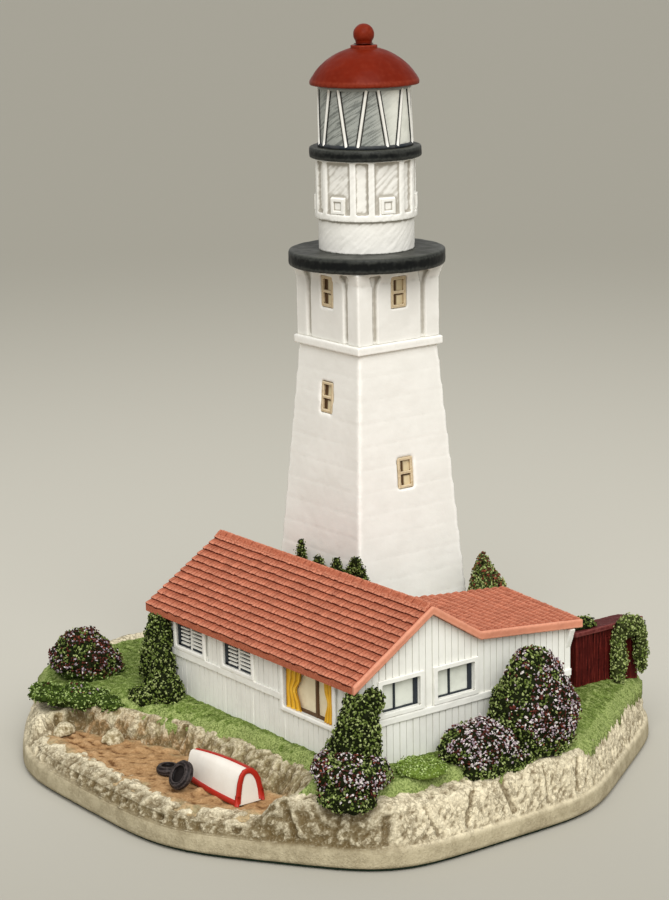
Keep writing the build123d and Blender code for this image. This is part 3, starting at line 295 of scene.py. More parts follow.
def neighbours_mean(values, first, second, degree):
    """Each vertex's values averaged over its neighbours."""
    total = np.empty_like(values)
    for axis in range(values.shape[1]):
        total[:, axis] = np.bincount(first, values[second, axis], len(values))
        total[:, axis] += np.bincount(second, values[first, axis], len(values))
    return total / degree[:, None]


def store_relief(mesh, rounds, scale, weights=1.0):
    """Store how far each point stands out of its surroundings, as a value about zero."""
    points = points_of(mesh)
    pairs = np.empty(len(mesh.edges) * 2, dtype=np.int32)
    mesh.edges.foreach_get("vertices", pairs)
    first, second = pairs[0::2], pairs[1::2]
    degree = np.bincount(first, minlength=len(points)) + np.bincount(second, minlength=len(points))
    degree = np.maximum(degree, 1).astype(float)
    smooth = points
    for _ in range(rounds):
        smooth = neighbours_mean(smooth, first, second, degree)
    proud = ((points - smooth) * normals_of(mesh)).sum(axis=1) / scale
    attribute = mesh.attributes.new("relief", "FLOAT", "POINT")
    attribute.data.foreach_set("value", (np.clip(proud, -1, 1) * weights).astype(np.float32))


def sink_relief(mesh, amounts):
    """Lower the stored relief, so that the paint's wash darkens those points."""
    values = np.empty(len(mesh.vertices), dtype=np.float32)
    attribute = mesh.attributes["relief"]
    attribute.data.foreach_get("value", values)
    attribute.data.foreach_set("value", (values - amounts).astype(np.float32))


def store_tint(mesh, tints):
    """Store a colour for each vertex."""
    attribute = mesh.attributes.new("tint", "FLOAT_COLOR", "POINT")
    attribute.data.foreach_set("color", np.asarray(tints, dtype=np.float32).ravel())


def settle(piece, material, nodes):
    """Give a piece its material, its place in the frame and the solids that it stands for."""
    piece.data.materials.clear()
    piece.data.materials.append(material)
    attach(piece, "root")
    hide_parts(*nodes)
    return piece


def add_object(name, vertices, faces, smooth=True):
    """A new object from vertices and faces."""
    mesh = bpy.data.meshes.new(name)
    mesh.from_pydata(np.asarray(vertices).tolist(), [], [list(face) for face in faces])
    mesh.polygons.foreach_set("use_smooth", [smooth] * len(mesh.polygons))
    mesh.update()
    piece = bpy.data.objects.new(name, mesh)
    bpy.context.scene.collection.objects.link(piece)
    return piece


def remesh(piece, voxel):
    """Turn a piece's shells into one skin of even quads, with softened edges."""
    modifier = piece.modifiers.new("Casting", "REMESH")
    modifier.mode = "VOXEL"
    modifier.voxel_size = voxel
    modifier.use_smooth_shade = True
    graph = bpy.context.evaluated_depsgraph_get()
    skin = bpy.data.meshes.new_from_object(piece.evaluated_get(graph))
    piece.modifiers.clear()
    piece.data = skin


def copy_solids(name, nodes, swells=()):
    """A new object holding copies of CAD solids, and swells given as (centre, half sizes)."""
    shell = bmesh.new()
    for node in nodes:
        shell.from_mesh(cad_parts[node].data)
    bmesh.ops.remove_doubles(shell, verts=shell.verts, dist=MM / 1000)
    for centre, half in swells:
        place = Matrix.LocRotScale(Vector(centre) * MM, None, Vector(half) * MM)
        bmesh.ops.create_icosphere(shell, subdivisions=3, radius=1, matrix=place)
    mesh = bpy.data.meshes.new(name)
    shell.to_mesh(mesh)
    shell.free()
    piece = bpy.data.objects.new(name, mesh)
    bpy.context.scene.collection.objects.link(piece)
    return piece


def roughen(piece, lumps, lump_size, carve=None):
    """Give a cast skin hand-made unevenness, and what carve adds along its normals."""
    points = points_of(piece.data)
    normals = normals_of(piece.data)
    shift = lumps * fractal(points, lump_size, 3)
    if carve is not None:
        shift = shift + carve(points, normals)
    move_points(piece.data, points + normals * shift[:, None])


def cast(name, nodes, material, voxel, lumps=0.04 * MM, lump_size=1.6 * MM, carve=None,
         rounds=6, scale=0.05 * MM):
    """A casting: CAD solids with softened edges, an uneven skin and relief for the paint."""
    piece = copy_solids(name, nodes)
    remesh(piece, voxel)
    roughen(piece, lumps, lump_size, carve)
    store_relief(piece.data, rounds, scale)
    return settle(piece, material, nodes)


def islands(node):
    """The boxes of a CAD node's separate solids, as lowest and highest corners."""
    shell = bmesh.new()
    shell.from_mesh(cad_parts[node].data)
    bmesh.ops.remove_doubles(shell, verts=shell.verts, dist=MM / 1000)
    seen = set()
    boxes = []
    for start in shell.verts:
        if start.index in seen:
            continue
        seen.add(start.index)
        waiting = [start]
        found = []
        while waiting:
            vertex = waiting.pop()
            found.append(tuple(vertex.co))
            for edge in vertex.link_edges:
                other = edge.other_vert(vertex)
                if other.index not in seen:
                    seen.add(other.index)
                    waiting.append(other)
        boxes.append((np.min(found, axis=0), np.max(found, axis=0)))
    shell.free()
    return sorted(boxes, key=lambda box: tuple(box[0]))


class Shell:
    """Collects vertices, faces and tints for one piece."""

    def __init__(self):
        self.vertices = []
        self.faces = []
        self.tints = []

    def add(self, vertices, faces, tint=(1, 1, 1, 1), tints=None):
        """Append vertices and the faces between them, in one tint or a tint for each vertex."""
        start = len(self.vertices)
        self.vertices.extend(tuple(vertex) for vertex in vertices)
        self.faces.extend([start + index for index in face] for face in faces)
        self.tints.extend([tint] * len(vertices) if tints is None else tints)

    def block(self, low, high, tint=(1, 1, 1, 1)):
        """Append a block between two corners."""
        corners = [
            (x, y, z) for x in (low[0], high[0]) for y in (low[1], high[1]) for z in (low[2], high[2])
        ]
        self.add(corners, BLOCK_FACES, tint)

    def rows(self, rows, tint=(1, 1, 1, 1), closed=False, tints=None):
        """Append a skin over equally long rows of points."""
        width = len(rows[0])
        faces = []
        for row in range(len(rows) - 1):
            for column in range(width if closed else width - 1):
                a = row * width + column
                b = row * width + (column + 1) % width
                faces.append((a, b, b + width, a + width))
        self.add([point for row in rows for point in row], faces, tint, tints)

    def strip(self, path, outward, width, height, tint=(1, 1, 1, 1)):
        """Append a rounded strip along a path, standing up along its outward directions."""
        path = [Vector(point) for point in path]
        rows = []
        for index, point in enumerate(path):
            ahead = path[min(index + 1, len(path) - 1)] - path[max(index - 1, 0)]
            rise = Vector(outward[index]).normalized()
            across = ahead.cross(rise).normalized() * width / 2
            rows.append([
                point - across - rise * height * 0.5,
                point - across + rise * height * 0.45,
                point - across * 0.55 + rise * height * 0.9,
                point + across * 0.55 + rise * height * 0.9,
                point + across + rise * height * 0.45,
                point + across - rise * height * 0.5,
            ])
        start = len(self.vertices)
        self.rows(rows, tint, closed=True)
        last = start + 6 * (len(rows) - 1)
        self.faces.append([start + corner for corner in range(6)])
        self.faces.append([last + corner for corner in reversed(range(6))])

    def piece(self, name, smooth=True):
        """The collected shell as an object, with its tints."""
        piece = add_object(name, self.vertices, self.faces, smooth)
        store_tint(piece.data, self.tints)
        return piece


def new_group(name, inputs, outputs):
    """An empty shader node group with float and colour sockets."""
    tree = bpy.data.node_groups.new(name, "ShaderNodeTree")
    for title, value in inputs:
        kind = "NodeSocketFloat" if isinstance(value, (int, float)) else "NodeSocketColor"
        socket = tree.interface.new_socket(title, in_out="INPUT", socket_type=kind)
        socket.default_value = value
    for title, kind in outputs:
        tree.interface.new_socket(title, in_out="OUTPUT", socket_type=kind)
    return tree, tree.nodes.new("NodeGroupInput"), tree.nodes.new("NodeGroupOutput")


def add_node(tree, kind, links=(), **settings):
    """A node with its settings, its values and its links: links are (input, socket or value)."""
    node = tree.nodes.new(kind)
    for key, value in settings.items():
        setattr(node, key, value)
    for key, value in links:
        if isinstance(value, bpy.types.NodeSocket):
            tree.links.new(value, node.inputs[key])
        else:
            node.inputs[key].default_value = value
    return node


def mix_colours(tree, share, first, second):
    """A colour mix; its result socket."""
    links = ((0, share), (6, first), (7, second))
    return add_node(tree, "ShaderNodeMix", links, data_type="RGBA").outputs[2]


def ramp(tree, value, low, high, out_low=0.0, out_high=1.0):
    """A value mapped smoothly from one range to another; its result socket."""
    node = add_node(tree, "ShaderNodeMapRange", (
        ("Value", value), ("From Min", low), ("From Max", high), ("To Min", out_low),
        ("To Max", out_high),
    ), interpolation_type="SMOOTHSTEP")
    return node.outputs["Result"]


def multiply(tree, first, second):
    """A product of two values; its result socket."""
    node = add_node(tree, "ShaderNodeMath", ((0, first), (1, second)), operation="MULTIPLY")
    return node.outputs[0]


def noise_value(tree, scale, detail):
    """Noise over the piece's own coordinates; its value socket."""
    place = tree.nodes.new("ShaderNodeTexCoord").outputs["Object"]
    node = add_node(tree, "ShaderNodeTexNoise", (
        ("Vector", place), ("Scale", scale), ("Detail", detail), ("Roughness", 0.6),
    ))
    return node.outputs["Fac"]


def painted_relief_group():
    """Node group: a mottled coat of paint, washed dark in hollows and cracks and brushed light on ridges."""
    name = "Painted Relief"
    if name in bpy.data.node_groups:
        return bpy.data.node_groups[name]
    white = (1, 1, 1, 1)
    tree, given, result = new_group(
        name,
        (("Base", white), ("Wash", white), ("Light", white), ("Wash Amount", 0.8),
         ("Light Amount", 0.5), ("Mottle Scale", 250.0), ("Mottle Amount", 0.2),
         ("Grain Scale", 2500.0), ("Speckle", 0.0), ("Crack Scale", 900.0), ("Cracks", 0.0), ("Gloss", 0.6)),
        (("Color", "NodeSocketColor"), ("Roughness", "NodeSocketFloat"), ("Height", "NodeSocketFloat")),
    )
    relief = add_node(tree, "ShaderNodeAttribute", attribute_name="relief").outputs["Fac"]
    mottle = noise_value(tree, given.outputs["Mottle Scale"], 4.0)
    grain = noise_value(tree, given.outputs["Grain Scale"], 2.0)
    spread = ramp(tree, mottle, 0.34, 0.66, 0.0, given.outputs["Mottle Amount"])
    coat = mix_colours(tree, spread, given.outputs["Base"], given.outputs["Wash"])
    hollow = multiply(tree, ramp(tree, relief, -0.05, -0.75), given.outputs["Wash Amount"])
    ridge = multiply(tree, ramp(tree, relief, 0.05, 0.7), given.outputs["Light Amount"])
    ridge = multiply(tree, ridge, ramp(tree, grain, 0.3, 0.6, 0.45, 1.0))
    coat = mix_colours(tree, hollow, coat, given.outputs["Wash"])
    coat = mix_colours(tree, ridge, coat, given.outputs["Light"])
    dark_fleck = multiply(tree, ramp(tree, grain, 0.5, 0.36), given.outputs["Speckle"])
    light_fleck = multiply(tree, ramp(tree, grain, 0.52, 0.68), given.outputs["Speckle"])
    coat = mix_colours(tree, dark_fleck, coat, given.outputs["Wash"])
    coat = mix_colours(tree, light_fleck, coat, given.outputs["Light"])
    lines = add_node(tree, "ShaderNodeMath", (
        (0, noise_value(tree, given.outputs["Crack Scale"], 5.0)), (1, 0.5), (2, 0.045),
    ), operation="COMPARE").outputs[0]
    lines = multiply(tree, lines, ramp(tree, mottle, 0.4, 0.6, 0.35, 1.0))
    lines = multiply(tree, lines, given.outputs["Cracks"])
    coat = mix_colours(tree, lines, coat, given.outputs["Wash"])
    tree.links.new(coat, result.inputs["Color"])
    gloss = add_node(tree, "ShaderNodeMath", (
        (0, given.outputs["Gloss"]), (1, ramp(tree, mottle, 0.3, 0.7, -0.08, 0.08)),
    ), operation="ADD")
    tree.links.new(gloss.outputs[0], result.inputs["Roughness"])
    height = add_node(tree, "ShaderNodeMath", ((0, grain), (1, lines)), operation="SUBTRACT")
    tree.links.new(height.outputs[0], result.inputs["Height"])
    return tree


def painted(name, base, wash, light, wash_amount=0.8, light_amount=0.5, mottle=(4 * MM, 0.2),
            grain=(0.4 * MM, 0.03 * MM), gloss=0.62, coat=0.0, tinted=0.0, speckle=0.0, shine=0.2,
            cracks=(MM, 0.0), above=None):
    """A painted material: tinted is the share of the piece's own tint, above is where it turns rough."""
    if name in bpy.data.materials:
        return bpy.data.materials[name]
    material = bpy.data.materials.new(name)
    material.use_nodes = True
    tree = material.node_tree
    shader = tree.nodes["Principled BSDF"]
    shader.inputs["Specular IOR Level"].default_value = shine
    shader.inputs["Coat Weight"].default_value = coat
    shader.inputs["Coat Roughness"].default_value = 0.22
    if tinted:
        tint = add_node(tree, "ShaderNodeAttribute", attribute_name="tint").outputs["Color"]
        base = mix_colours(tree, tinted, tuple(base), tint)
    else:
        base = tuple(base)
    crack_size, crack_amount = cracks
    if above is not None:
        place = tree.nodes.new("ShaderNodeTexCoord").outputs["Object"]
        level = add_node(tree, "ShaderNodeSeparateXYZ", (("Vector", place),)).outputs["Z"]
        rough = ramp(tree, level, above, above + MM, 0.25, 1.0)
        speckle = multiply(tree, rough, speckle)
        crack_amount = multiply(tree, rough, crack_amount)
    group = add_node(tree, "ShaderNodeGroup", (
        ("Base", base), ("Wash", tuple(wash)), ("Light", tuple(light)), ("Wash Amount", wash_amount),
        ("Light Amount", light_amount), ("Mottle Scale", 1 / mottle[0]), ("Mottle Amount", mottle[1]),
        ("Grain Scale", 1 / grain[0]), ("Speckle", speckle), ("Crack Scale", 1 / crack_size),
        ("Cracks", crack_amount), ("Gloss", gloss),
    ), node_tree=painted_relief_group())
    bump = add_node(tree, "ShaderNodeBump", (
        ("Strength", 1.0), ("Distance", grain[1]), ("Height", group.outputs["Height"]),
    ))
    tree.links.new(group.outputs["Color"], shader.inputs["Base Color"])
    tree.links.new(group.outputs["Roughness"], shader.inputs["Roughness"])
    tree.links.new(bump.outputs["Normal"], shader.inputs["Normal"])
    return material


def white_paint(name, base, shade, wash_amount=0.75):
    """Matt white paint, washed grey-beige in the grooves."""
    return painted(name, base, shade, paint(252, 250, 243), wash_amount, 0.6, (7 * MM, 0.08),
                   (0.5 * MM, 0.02 * MM), 0.55)


def tinted_paint(name, wash, gloss=0.6, wash_amount=0.55, light=(255, 250, 235), light_amount=0.15,
                 shine=0.2):
    """Paint whose colour comes from each vertex's tint."""
    return painted(name, wash, wash, paint(*light), wash_amount, light_amount, (2.5 * MM, 0.12),
                   (0.35 * MM, 0.02 * MM), gloss, tinted=1.0, shine=shine)


def solid_tree(node):
    """A search tree over a CAD solid's faces."""
    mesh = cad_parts[node].data
    return BVHTree.FromPolygons(
        [vertex.co for vertex in mesh.vertices], [face.vertices for face in mesh.polygons]
    )


def plan_edges():
    """The base's outline in plan: a corner and an outward direction for each of its edges."""
    points = points_of(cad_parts["rock_base"].data)
    foot = points[points[:, 2] < points[:, 2].min() + 0.01 * MM][:, :2]
    foot = np.unique(foot.round(6), axis=0)
    corners = foot[geometry.convex_hull_2d(foot.tolist())]
    ahead = np.roll(corners, -1, axis=0) - corners
    outward = np.stack([ahead[:, 1], -ahead[:, 0]], axis=1)
    outward *= np.sign((outward * corners).sum(axis=1))[:, None]
    return corners, outward / np.linalg.norm(outward, axis=1)[:, None]


def plan_depth(points):
    """How far points lie inside the edge of the base."""
    corners, outward = plan_edges()
    return ((corners * outward).sum(axis=1) - points @ outward.T).min(axis=1)


def plan_ring(count, inset):
    """Points round the base at an inset from its edge, with its corners eased."""
    corners, outward = plan_edges()
    turns = np.linspace(0, 2 * np.pi, count, endpoint=False)
    rays = np.stack([np.cos(turns), np.sin(turns)], axis=1)
    reach = ((corners * outward).sum(axis=1) - inset) / np.maximum(rays @ outward.T, 1e-6)
    ring = (rays[:, 0] + 1j * rays[:, 1]) * reach.min(axis=1)
    waves = np.fft.fftfreq(count, 1 / count)
    ring = np.fft.ifft(np.fft.fft(ring) * np.exp(-2 * (np.pi * waves * CORNER_EASE) ** 2))
    return np.column_stack([ring.real, ring.imag])


def convex_distance(points, corners, rounding):
    """Distance from points to a convex polygon with rounded corners, negative inside."""
    corners = np.asarray(corners)
    ahead = np.roll(corners, -1, axis=0) - corners
    ahead /= np.linalg.norm(ahead, axis=1)[:, None]
    normals = np.stack([ahead[:, 1], -ahead[:, 0]], axis=1)
    reach = (normals * corners).sum(axis=1) - rounding
    inner = []
    for index in range(len(corners)):
        pair = [index - 1, index]
        inner.append(np.linalg.solve(normals[pair], reach[pair]))
    inner = np.array(inner)
    outside = np.full(len(points), np.inf)
    inside = np.full(len(points), -np.inf)
    for index in range(len(inner)):
        start, end = inner[index], inner[(index + 1) % len(inner)]
        offset = points - start
        share = np.clip(offset @ ahead[index], 0, np.linalg.norm(end - start))
        gap = np.linalg.norm(offset - share[:, None] * ahead[index], axis=1)
        outside = np.minimum(outside, gap)
        inside = np.maximum(inside, offset @ normals[index])
    return np.where(inside > 0, outside, inside) - rounding


def beach_gap(points):
    """Distance from points to the beach, negative on it."""
    low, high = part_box("beach_sand")
    front = low.y - 10 * MM
    corners = [
        (low.x, front), (high.x, front), (high.x, high.y), (low.x + 24 * MM, high.y),
        (low.x, high.y - 9 * MM),
    ]
    return convex_distance(points, corners, 5 * MM)


def flat_points(xy, z=0.0):
    """Plan points lifted to a height."""
    return np.column_stack([xy, np.broadcast_to(z, len(xy))])


def sunk_corner(xy):
    """Share by which the ground sinks towards its left front corner."""
    return step(-20 * MM, -36 * MM, xy[:, 0]) * step(-32 * MM, -44 * MM, xy[:, 1])


def bank_width(xy):
    """Width of the bare bank between the beach and the lawn, wider in front of the house."""
    return (0.7 + 3.0 * step(-4 * MM, 14 * MM, xy[:, 0])) * MM


def left_ledge(xy):
    """Share by which bare rock stands up along the left edge of the base."""
    return step(-44 * MM, -49 * MM, xy[:, 0]) * step(-30 * MM, -22 * MM, xy[:, 1])


def bare_front(xy):
    """Share by which the lawn draws back from the right front corner of the base."""
    return step(36 * MM, 41 * MM, xy[:, 0]) * step(-4 * MM, -12 * MM, xy[:, 1])


def right_spill(xy):
    """Share by which the lawn spills over the bank on the right."""
    return step(10 * MM, 34 * MM, xy[:, 0]) * step(11 * MM, 22 * MM, xy[:, 1])


def rock_top(xy):
    """Height of the bare rock inside its bank: under the lawn, on the inner bank and under the sand."""
    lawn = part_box("lawn")[0].z
    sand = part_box("beach_sand")[1].z
    wobble = fractal(flat_points(xy), 6 * MM, 3)
    depth = plan_depth(xy)
    climb = (beach_gap(xy) + (1.2 + wobble) * MM) / (bank_width(xy) + 1.6 * MM)
    top = lawn - (0.1 - 0.3 * wobble) * MM - sunk_corner(xy) * 2.6 * MM
    top += 1.5 * MM * left_ledge(xy) * step(6 * MM, 4.4 * MM, depth)
    top -= 1.3 * MM * bare_front(xy) * step(7 * MM, 2.4 * MM, depth) + 0.8 * MM * right_spill(xy)
    rim = 1.0 * step(7.5 * MM, 4.8 * MM, depth + wobble * 3.0 * MM) - 1.2 * step(5.0 * MM, 2.0 * MM, depth)
    bed = sand + (rim - 1.0) * MM
    return bed + (top - bed) * step(0, 1, climb)


def cleft_depths(points, settings):
    """How deep the clefts in the solid rock's bank run at points of the bank."""
    rock = solid_tree("rock_base")
    foot, head = settings.rim_height + 0.4 * MM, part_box("lawn")[0].z - 0.2 * MM
    outer = plan_depth(points[:, :2]) < settings.bank_head + settings.bank_round
    found = []
    for index in np.flatnonzero(outer & (points[:, 2] > foot) & (points[:, 2] < head)):
        x, y, z = points[index]
        inward = Vector((-x, -y, 0)).normalized()
        place = rock.ray_cast(Vector((x, y, z)) - inward * 6 * MM, inward)[0]
        if place is not None:
            found.append((index, *place))
    found = np.array(found)
    plain = np.interp(found[:, 3], (foot, head), (settings.bank_foot, settings.bank_head))
    extra = np.clip(plan_depth(found[:, 1:3]) - plain, 0, None)
    depths = np.zeros(len(points))
    depths[found[:, 0].astype(int)] = np.where(extra < 2.5 * MM, np.minimum(extra, 1.2 * MM), 0)
    return depths


def rock_rings(count, settings):
    """Rings of points up the rock's band and bank and over its top, with a share of roughness each."""
    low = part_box("rock_base")[0].z
    rings = []
    shares = []
    for share in np.linspace(0, 1, 7):
        inset = (0.1 + 0.25 * share ** 3) * MM
        rings.append(flat_points(plan_ring(count, inset), low + share * (settings.rim_height - low)))
        shares.append(0.06 + 0.1 * share ** 2)
    brink = settings.bank_head + settings.bank_round
    crest = rock_top(plan_ring(count, brink))
    for share in np.linspace(0.02, 1, 28):
        inset = settings.bank_foot + (settings.bank_head - settings.bank_foot) * share
        inset += settings.bank_round * share ** 6
        height = settings.rim_height + (crest - settings.rim_height) * share
        rings.append(flat_points(plan_ring(count, inset), height))
        shares.append(min(0.35 + 2.4 * share, 1.0))
    for inset in np.concatenate([np.arange(0.36, 23.6, 0.36), np.linspace(27, 42, 4)]) * MM:
        ring = plan_ring(count, brink + inset)
        rings.append(flat_points(ring, rock_top(ring)))
        shares.append(1.0)
    return np.array(rings), np.repeat(shares, count)


def rock_tints(points, normal, settings):
    """Paint on the rock: a plain band, a front darkened by stain and by painted shade, a dull inner bank and
    sand on the beach.
    """
    plan = points[:, :2]
    gap = beach_gap(plan)
    depth = plan_depth(plan)
    # Stain and painted shade: faces turned to the front take the darker paint.
    front_stain_and_shade = step(0.05, 0.75, -normal[:, 1]) * step(-40 * MM, 0, points[:, 0])
    tint = blend_tints(settings.rock, settings.rock_front_stain_and_shade, front_stain_and_shade)
    dull = np.asarray(settings.rock_dull)
    inner = step(-2 * MM, 0, gap) * step(6 * MM, 3 * MM, gap) * step(4 * MM, 7 * MM, depth)
    tint = tint + (dull - tint) * inner[:, None]
    sandy = step(2 * MM, -1.6 * MM, gap) * step(4.5 * MM, 8 * MM, depth)
    sandy *= step(-0.35, 0.2, fractal(points, 2.2 * MM, 3))
    tint = tint + (np.asarray(settings.sand) - tint) * sandy[:, None]
    band = step(settings.rim_height + 0.5 * MM, settings.rim_height - 0.3 * MM, points[:, 2])
    return tint + (np.asarray(settings.plinth) - tint) * band[:, None]


def build_rock(settings):
    """The rock base: a smooth band at the foot, a craggy bank and the bed of the beach."""
    low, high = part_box("rock_base")
    count = 900
    grid, mask = rock_rings(count, settings)
    normal = np.cross(np.roll(grid, -1, axis=1) - np.roll(grid, 1, axis=1), np.gradient(grid, axis=0))
    normal = (normal / np.linalg.norm(normal, axis=2)[:, :, None]).reshape(-1, 3)
    points = grid.reshape(-1, 3)
    plan = points[:, :2]
    gap, depth = beach_gap(plan), plan_depth(plan)
    steep = 1 - step(0.3, 0.8, normal[:, 2])
    front = step(0.2, 0.8, -normal[:, 1]) * step(-40 * MM, 0, points[:, 0])
    front = np.maximum(front, step(5 * MM, 8 * MM, depth))
    strokes = 0.8 * fractal(slanted(points, -9, 0.55), 0.75 * MM, 2)
    strokes += 0.5 * fractal(slanted(points, 12, 0.6), 1.7 * MM, 2)
    lumps = 0.7 * fractal(points, 1.9 * MM, 4) + 0.6 * crags(points, 2.6 * MM)
    buried = step(0, 1.5 * MM, gap - bank_width(plan))
    buried *= step(3 * MM, 4.5 * MM, depth - settings.lawn_retreat * bare_front(plan))
    upright = strokes * (0.7 - 0.3 * front) + 1.3 * front * lumps
    shape = steep * upright + (1 - steep) * lumps * (1 - 0.8 * buried)
    shift = settings.rock_relief * shape * mask - cleft_depths(points, settings)
    points = points + normal * shift[:, None]
    points[:, 0] = np.clip(points[:, 0], low.x, high.x)
    points[:, 1] = np.clip(points[:, 1], low.y, high.y)
    points[:count, 2] = low.z
    shell = Shell()
    tints = rock_tints(points, normal, settings).tolist()
    shell.rows(points.reshape(grid.shape).tolist(), closed=True, tints=tints)
    foot = len(shell.vertices)
    shell.add([(0, 0, low.z), (0, 0, float(points[-count:, 2].mean()))], ())
    last = foot - count
    for index in range(count):
        following = (index + 1) % count
        shell.faces.append([foot, following, index])
        shell.faces.append([foot + 1, last + index, last + following])
    piece = shell.piece("rock_base_cast")
    craggy = step(settings.rim_height, settings.rim_height + 0.8 * MM, points_of(piece.data)[:, 2])
    store_relief(piece.data, 8, 0.2 * MM, craggy)
    material = painted("Rock Paint", settings.rock, settings.rock_wash, settings.rock_light, 0.65, 0.45,
                       (3 * MM, 0.25), (0.42 * MM, 0.2 * MM), 0.85, tinted=1.0, speckle=0.22, shine=0.1,
                       cracks=(1.1 * MM, 0.5), above=settings.rim_height)
    return settle(piece, material, ["rock_base"])


def build_felt(settings):
    """The felt glued under the base, with a slightly frayed edge."""
    low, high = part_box("felt_pad")
    count = 720
    rows = []
    for inset, height in ((1.4, 0.0), (0.9, 0.1), (0.72, 0.4), (0.9, 0.75), (1.4, 1.0)):
        ring = flat_points(plan_ring(count, inset * MM), low.z + height * (high.z - low.z))
        fray = fractal(ring, 0.6 * MM, 2) * (0.12 * MM if 0 < height < 1 else 0.0)
        ring[:, :2] *= 1 + (fray / np.linalg.norm(ring[:, :2], axis=1))[:, None]
        rows.append(ring.tolist())
    shell = Shell()
    shell.rows(rows, closed=True)
    shell.faces.append(list(reversed(range(count))))
    shell.faces.append([4 * count + index for index in range(count)])
    piece = shell.piece("felt_underside")
    material = painted("Felt", settings.felt, paint(20, 28, 20), paint(70, 88, 68), 0.5, 0.3,
                       (1 * MM, 0.4), (0.25 * MM, 0.12 * MM), 0.95, shine=0.1)
    return settle(piece, material, ["felt_pad"])


def plan_grid(low, high, spacing, seed):
    """The shape of a grid over a box in plan, and its slightly scattered points."""
    across, along = np.meshgrid(
        np.arange(low.x, high.x + spacing, spacing), np.arange(low.y, high.y + spacing, spacing)
    )
    xy = np.column_stack([across.ravel(), along.ravel()])
    return across.shape, xy + np.random.default_rng(seed).uniform(-0.32, 0.32, xy.shape) * spacing


def grid_slab(name, shape, xy, shown, top, bottom):
    """A closed slab over the shown cells of a grid, with its own height at each grid point."""
    shown = shown.reshape(shape)
    width = shape[1]
    offset = len(xy)
    cells = shown[:-1, :-1] & shown[1:, :-1] & shown[:-1, 1:] & shown[1:, 1:]
    faces = []
    sides = {}
    for row, column in np.argwhere(cells):
        a = int(row * width + column)
        loop = [a, a + 1, a + 1 + width, a + width]
        faces.append(loop)
        faces.append([offset + index for index in reversed(loop)])
        for start, end in zip(loop, loop[1:] + loop[:1]):
            if (end, start) in sides:
                del sides[(end, start)]
            else:
                sides[(start, end)] = True
    faces.extend([end, start, start + offset, end + offset] for start, end in sides)
    vertices = np.concatenate([flat_points(xy, top), flat_points(xy, bottom)])
    used = np.unique(np.concatenate([np.asarray(face) for face in faces]))
    renumber = np.full(len(vertices), -1)
    renumber[used] = np.arange(len(used))
    faces = [[int(renumber[index]) for index in face] for face in faces]
    return add_object(name, vertices[used], faces)


def top_heights(node, xy, missing):
    """Heights of a solid's top over plan points, or a given height where it has none."""
    tree = solid_tree(node)
    heights = np.full(len(xy), missing)
    for index, (x, y) in enumerate(xy):
        place = tree.ray_cast(Vector((x, y, CAD_HIGH.z)), Vector((0, 0, -1)))[0]
        if place is not None:
            heights[index] = place.z
    return heights


def covered(xy, node, margin):
    """Which plan points lie well under a node's box."""
    low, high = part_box(node)
    inside = (xy > np.array(low.xy) + margin) & (xy < np.array(high.xy) - margin)
    return inside.all(axis=1)


def build_lawn(settings):
    """The lawn: stippled grass that follows the solid, sinks into the rock and spills over the right bank."""
    low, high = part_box("lawn")
    margin = Vector((1.6, 1.6, 0)) * MM
    shape, xy = plan_grid(low - margin, high + margin, 0.38 * MM, 3)
    wobble = fractal(flat_points(xy), 5 * MM, 3)
    bare = np.hypot(np.maximum(xy[:, 0] + 19 * MM, 0), np.maximum(xy[:, 1] + 43 * MM, 0))
    spill = right_spill(xy)
    bend = step(38 * MM, 44 * MM, xy[:, 0]) * step(-6 * MM, 0, xy[:, 1]) * step(17 * MM, 10 * MM, xy[:, 1])
    border = settings.lawn_edge + settings.lawn_retreat * bare_front(xy)
    border += (1.5 * left_ledge(xy) + 1.1 * bend - 0.6 * spill) * MM
    edge = np.minimum(plan_depth(xy) - border, beach_gap(xy) - bank_width(xy))
    edge = np.minimum(edge, bare) + wobble * (0.8 - 0.5 * spill) * MM
    height = top_heights("lawn", xy, low.z + 0.4 * MM)
    drop = settings.lawn_drop * (1 + 0.1 * spill)
    height -= drop * (1 - step(0, 1.8 * MM, edge)) + sunk_corner(xy) * 1.8 * MM
    tufts = fractal(flat_points(xy), 1.3 * MM, 2) + 0.6 * sample(noise.noise, flat_points(xy, 9.0), 0.75 * MM)
    height += settings.grass_stipple * tufts + 0.2 * MM * wobble
    under = covered(xy, "main_roof", 5 * MM) | covered(xy, "tower_shaft", 4 * MM)
    piece = grid_slab("lawn_grass", shape, xy, (edge > 0) & ~under, height, low.z - 3.6 * MM)
    store_relief(piece.data, 4, 0.16 * MM)
    material = painted("Grass Paint", settings.grass, settings.grass_wash, settings.grass_light, 0.9, 0.5,
                       (5 * MM, 0.42), (0.3 * MM, 0.1 * MM), 0.9, speckle=0.5, shine=0.1)
    return settle(piece, material, ["lawn"])


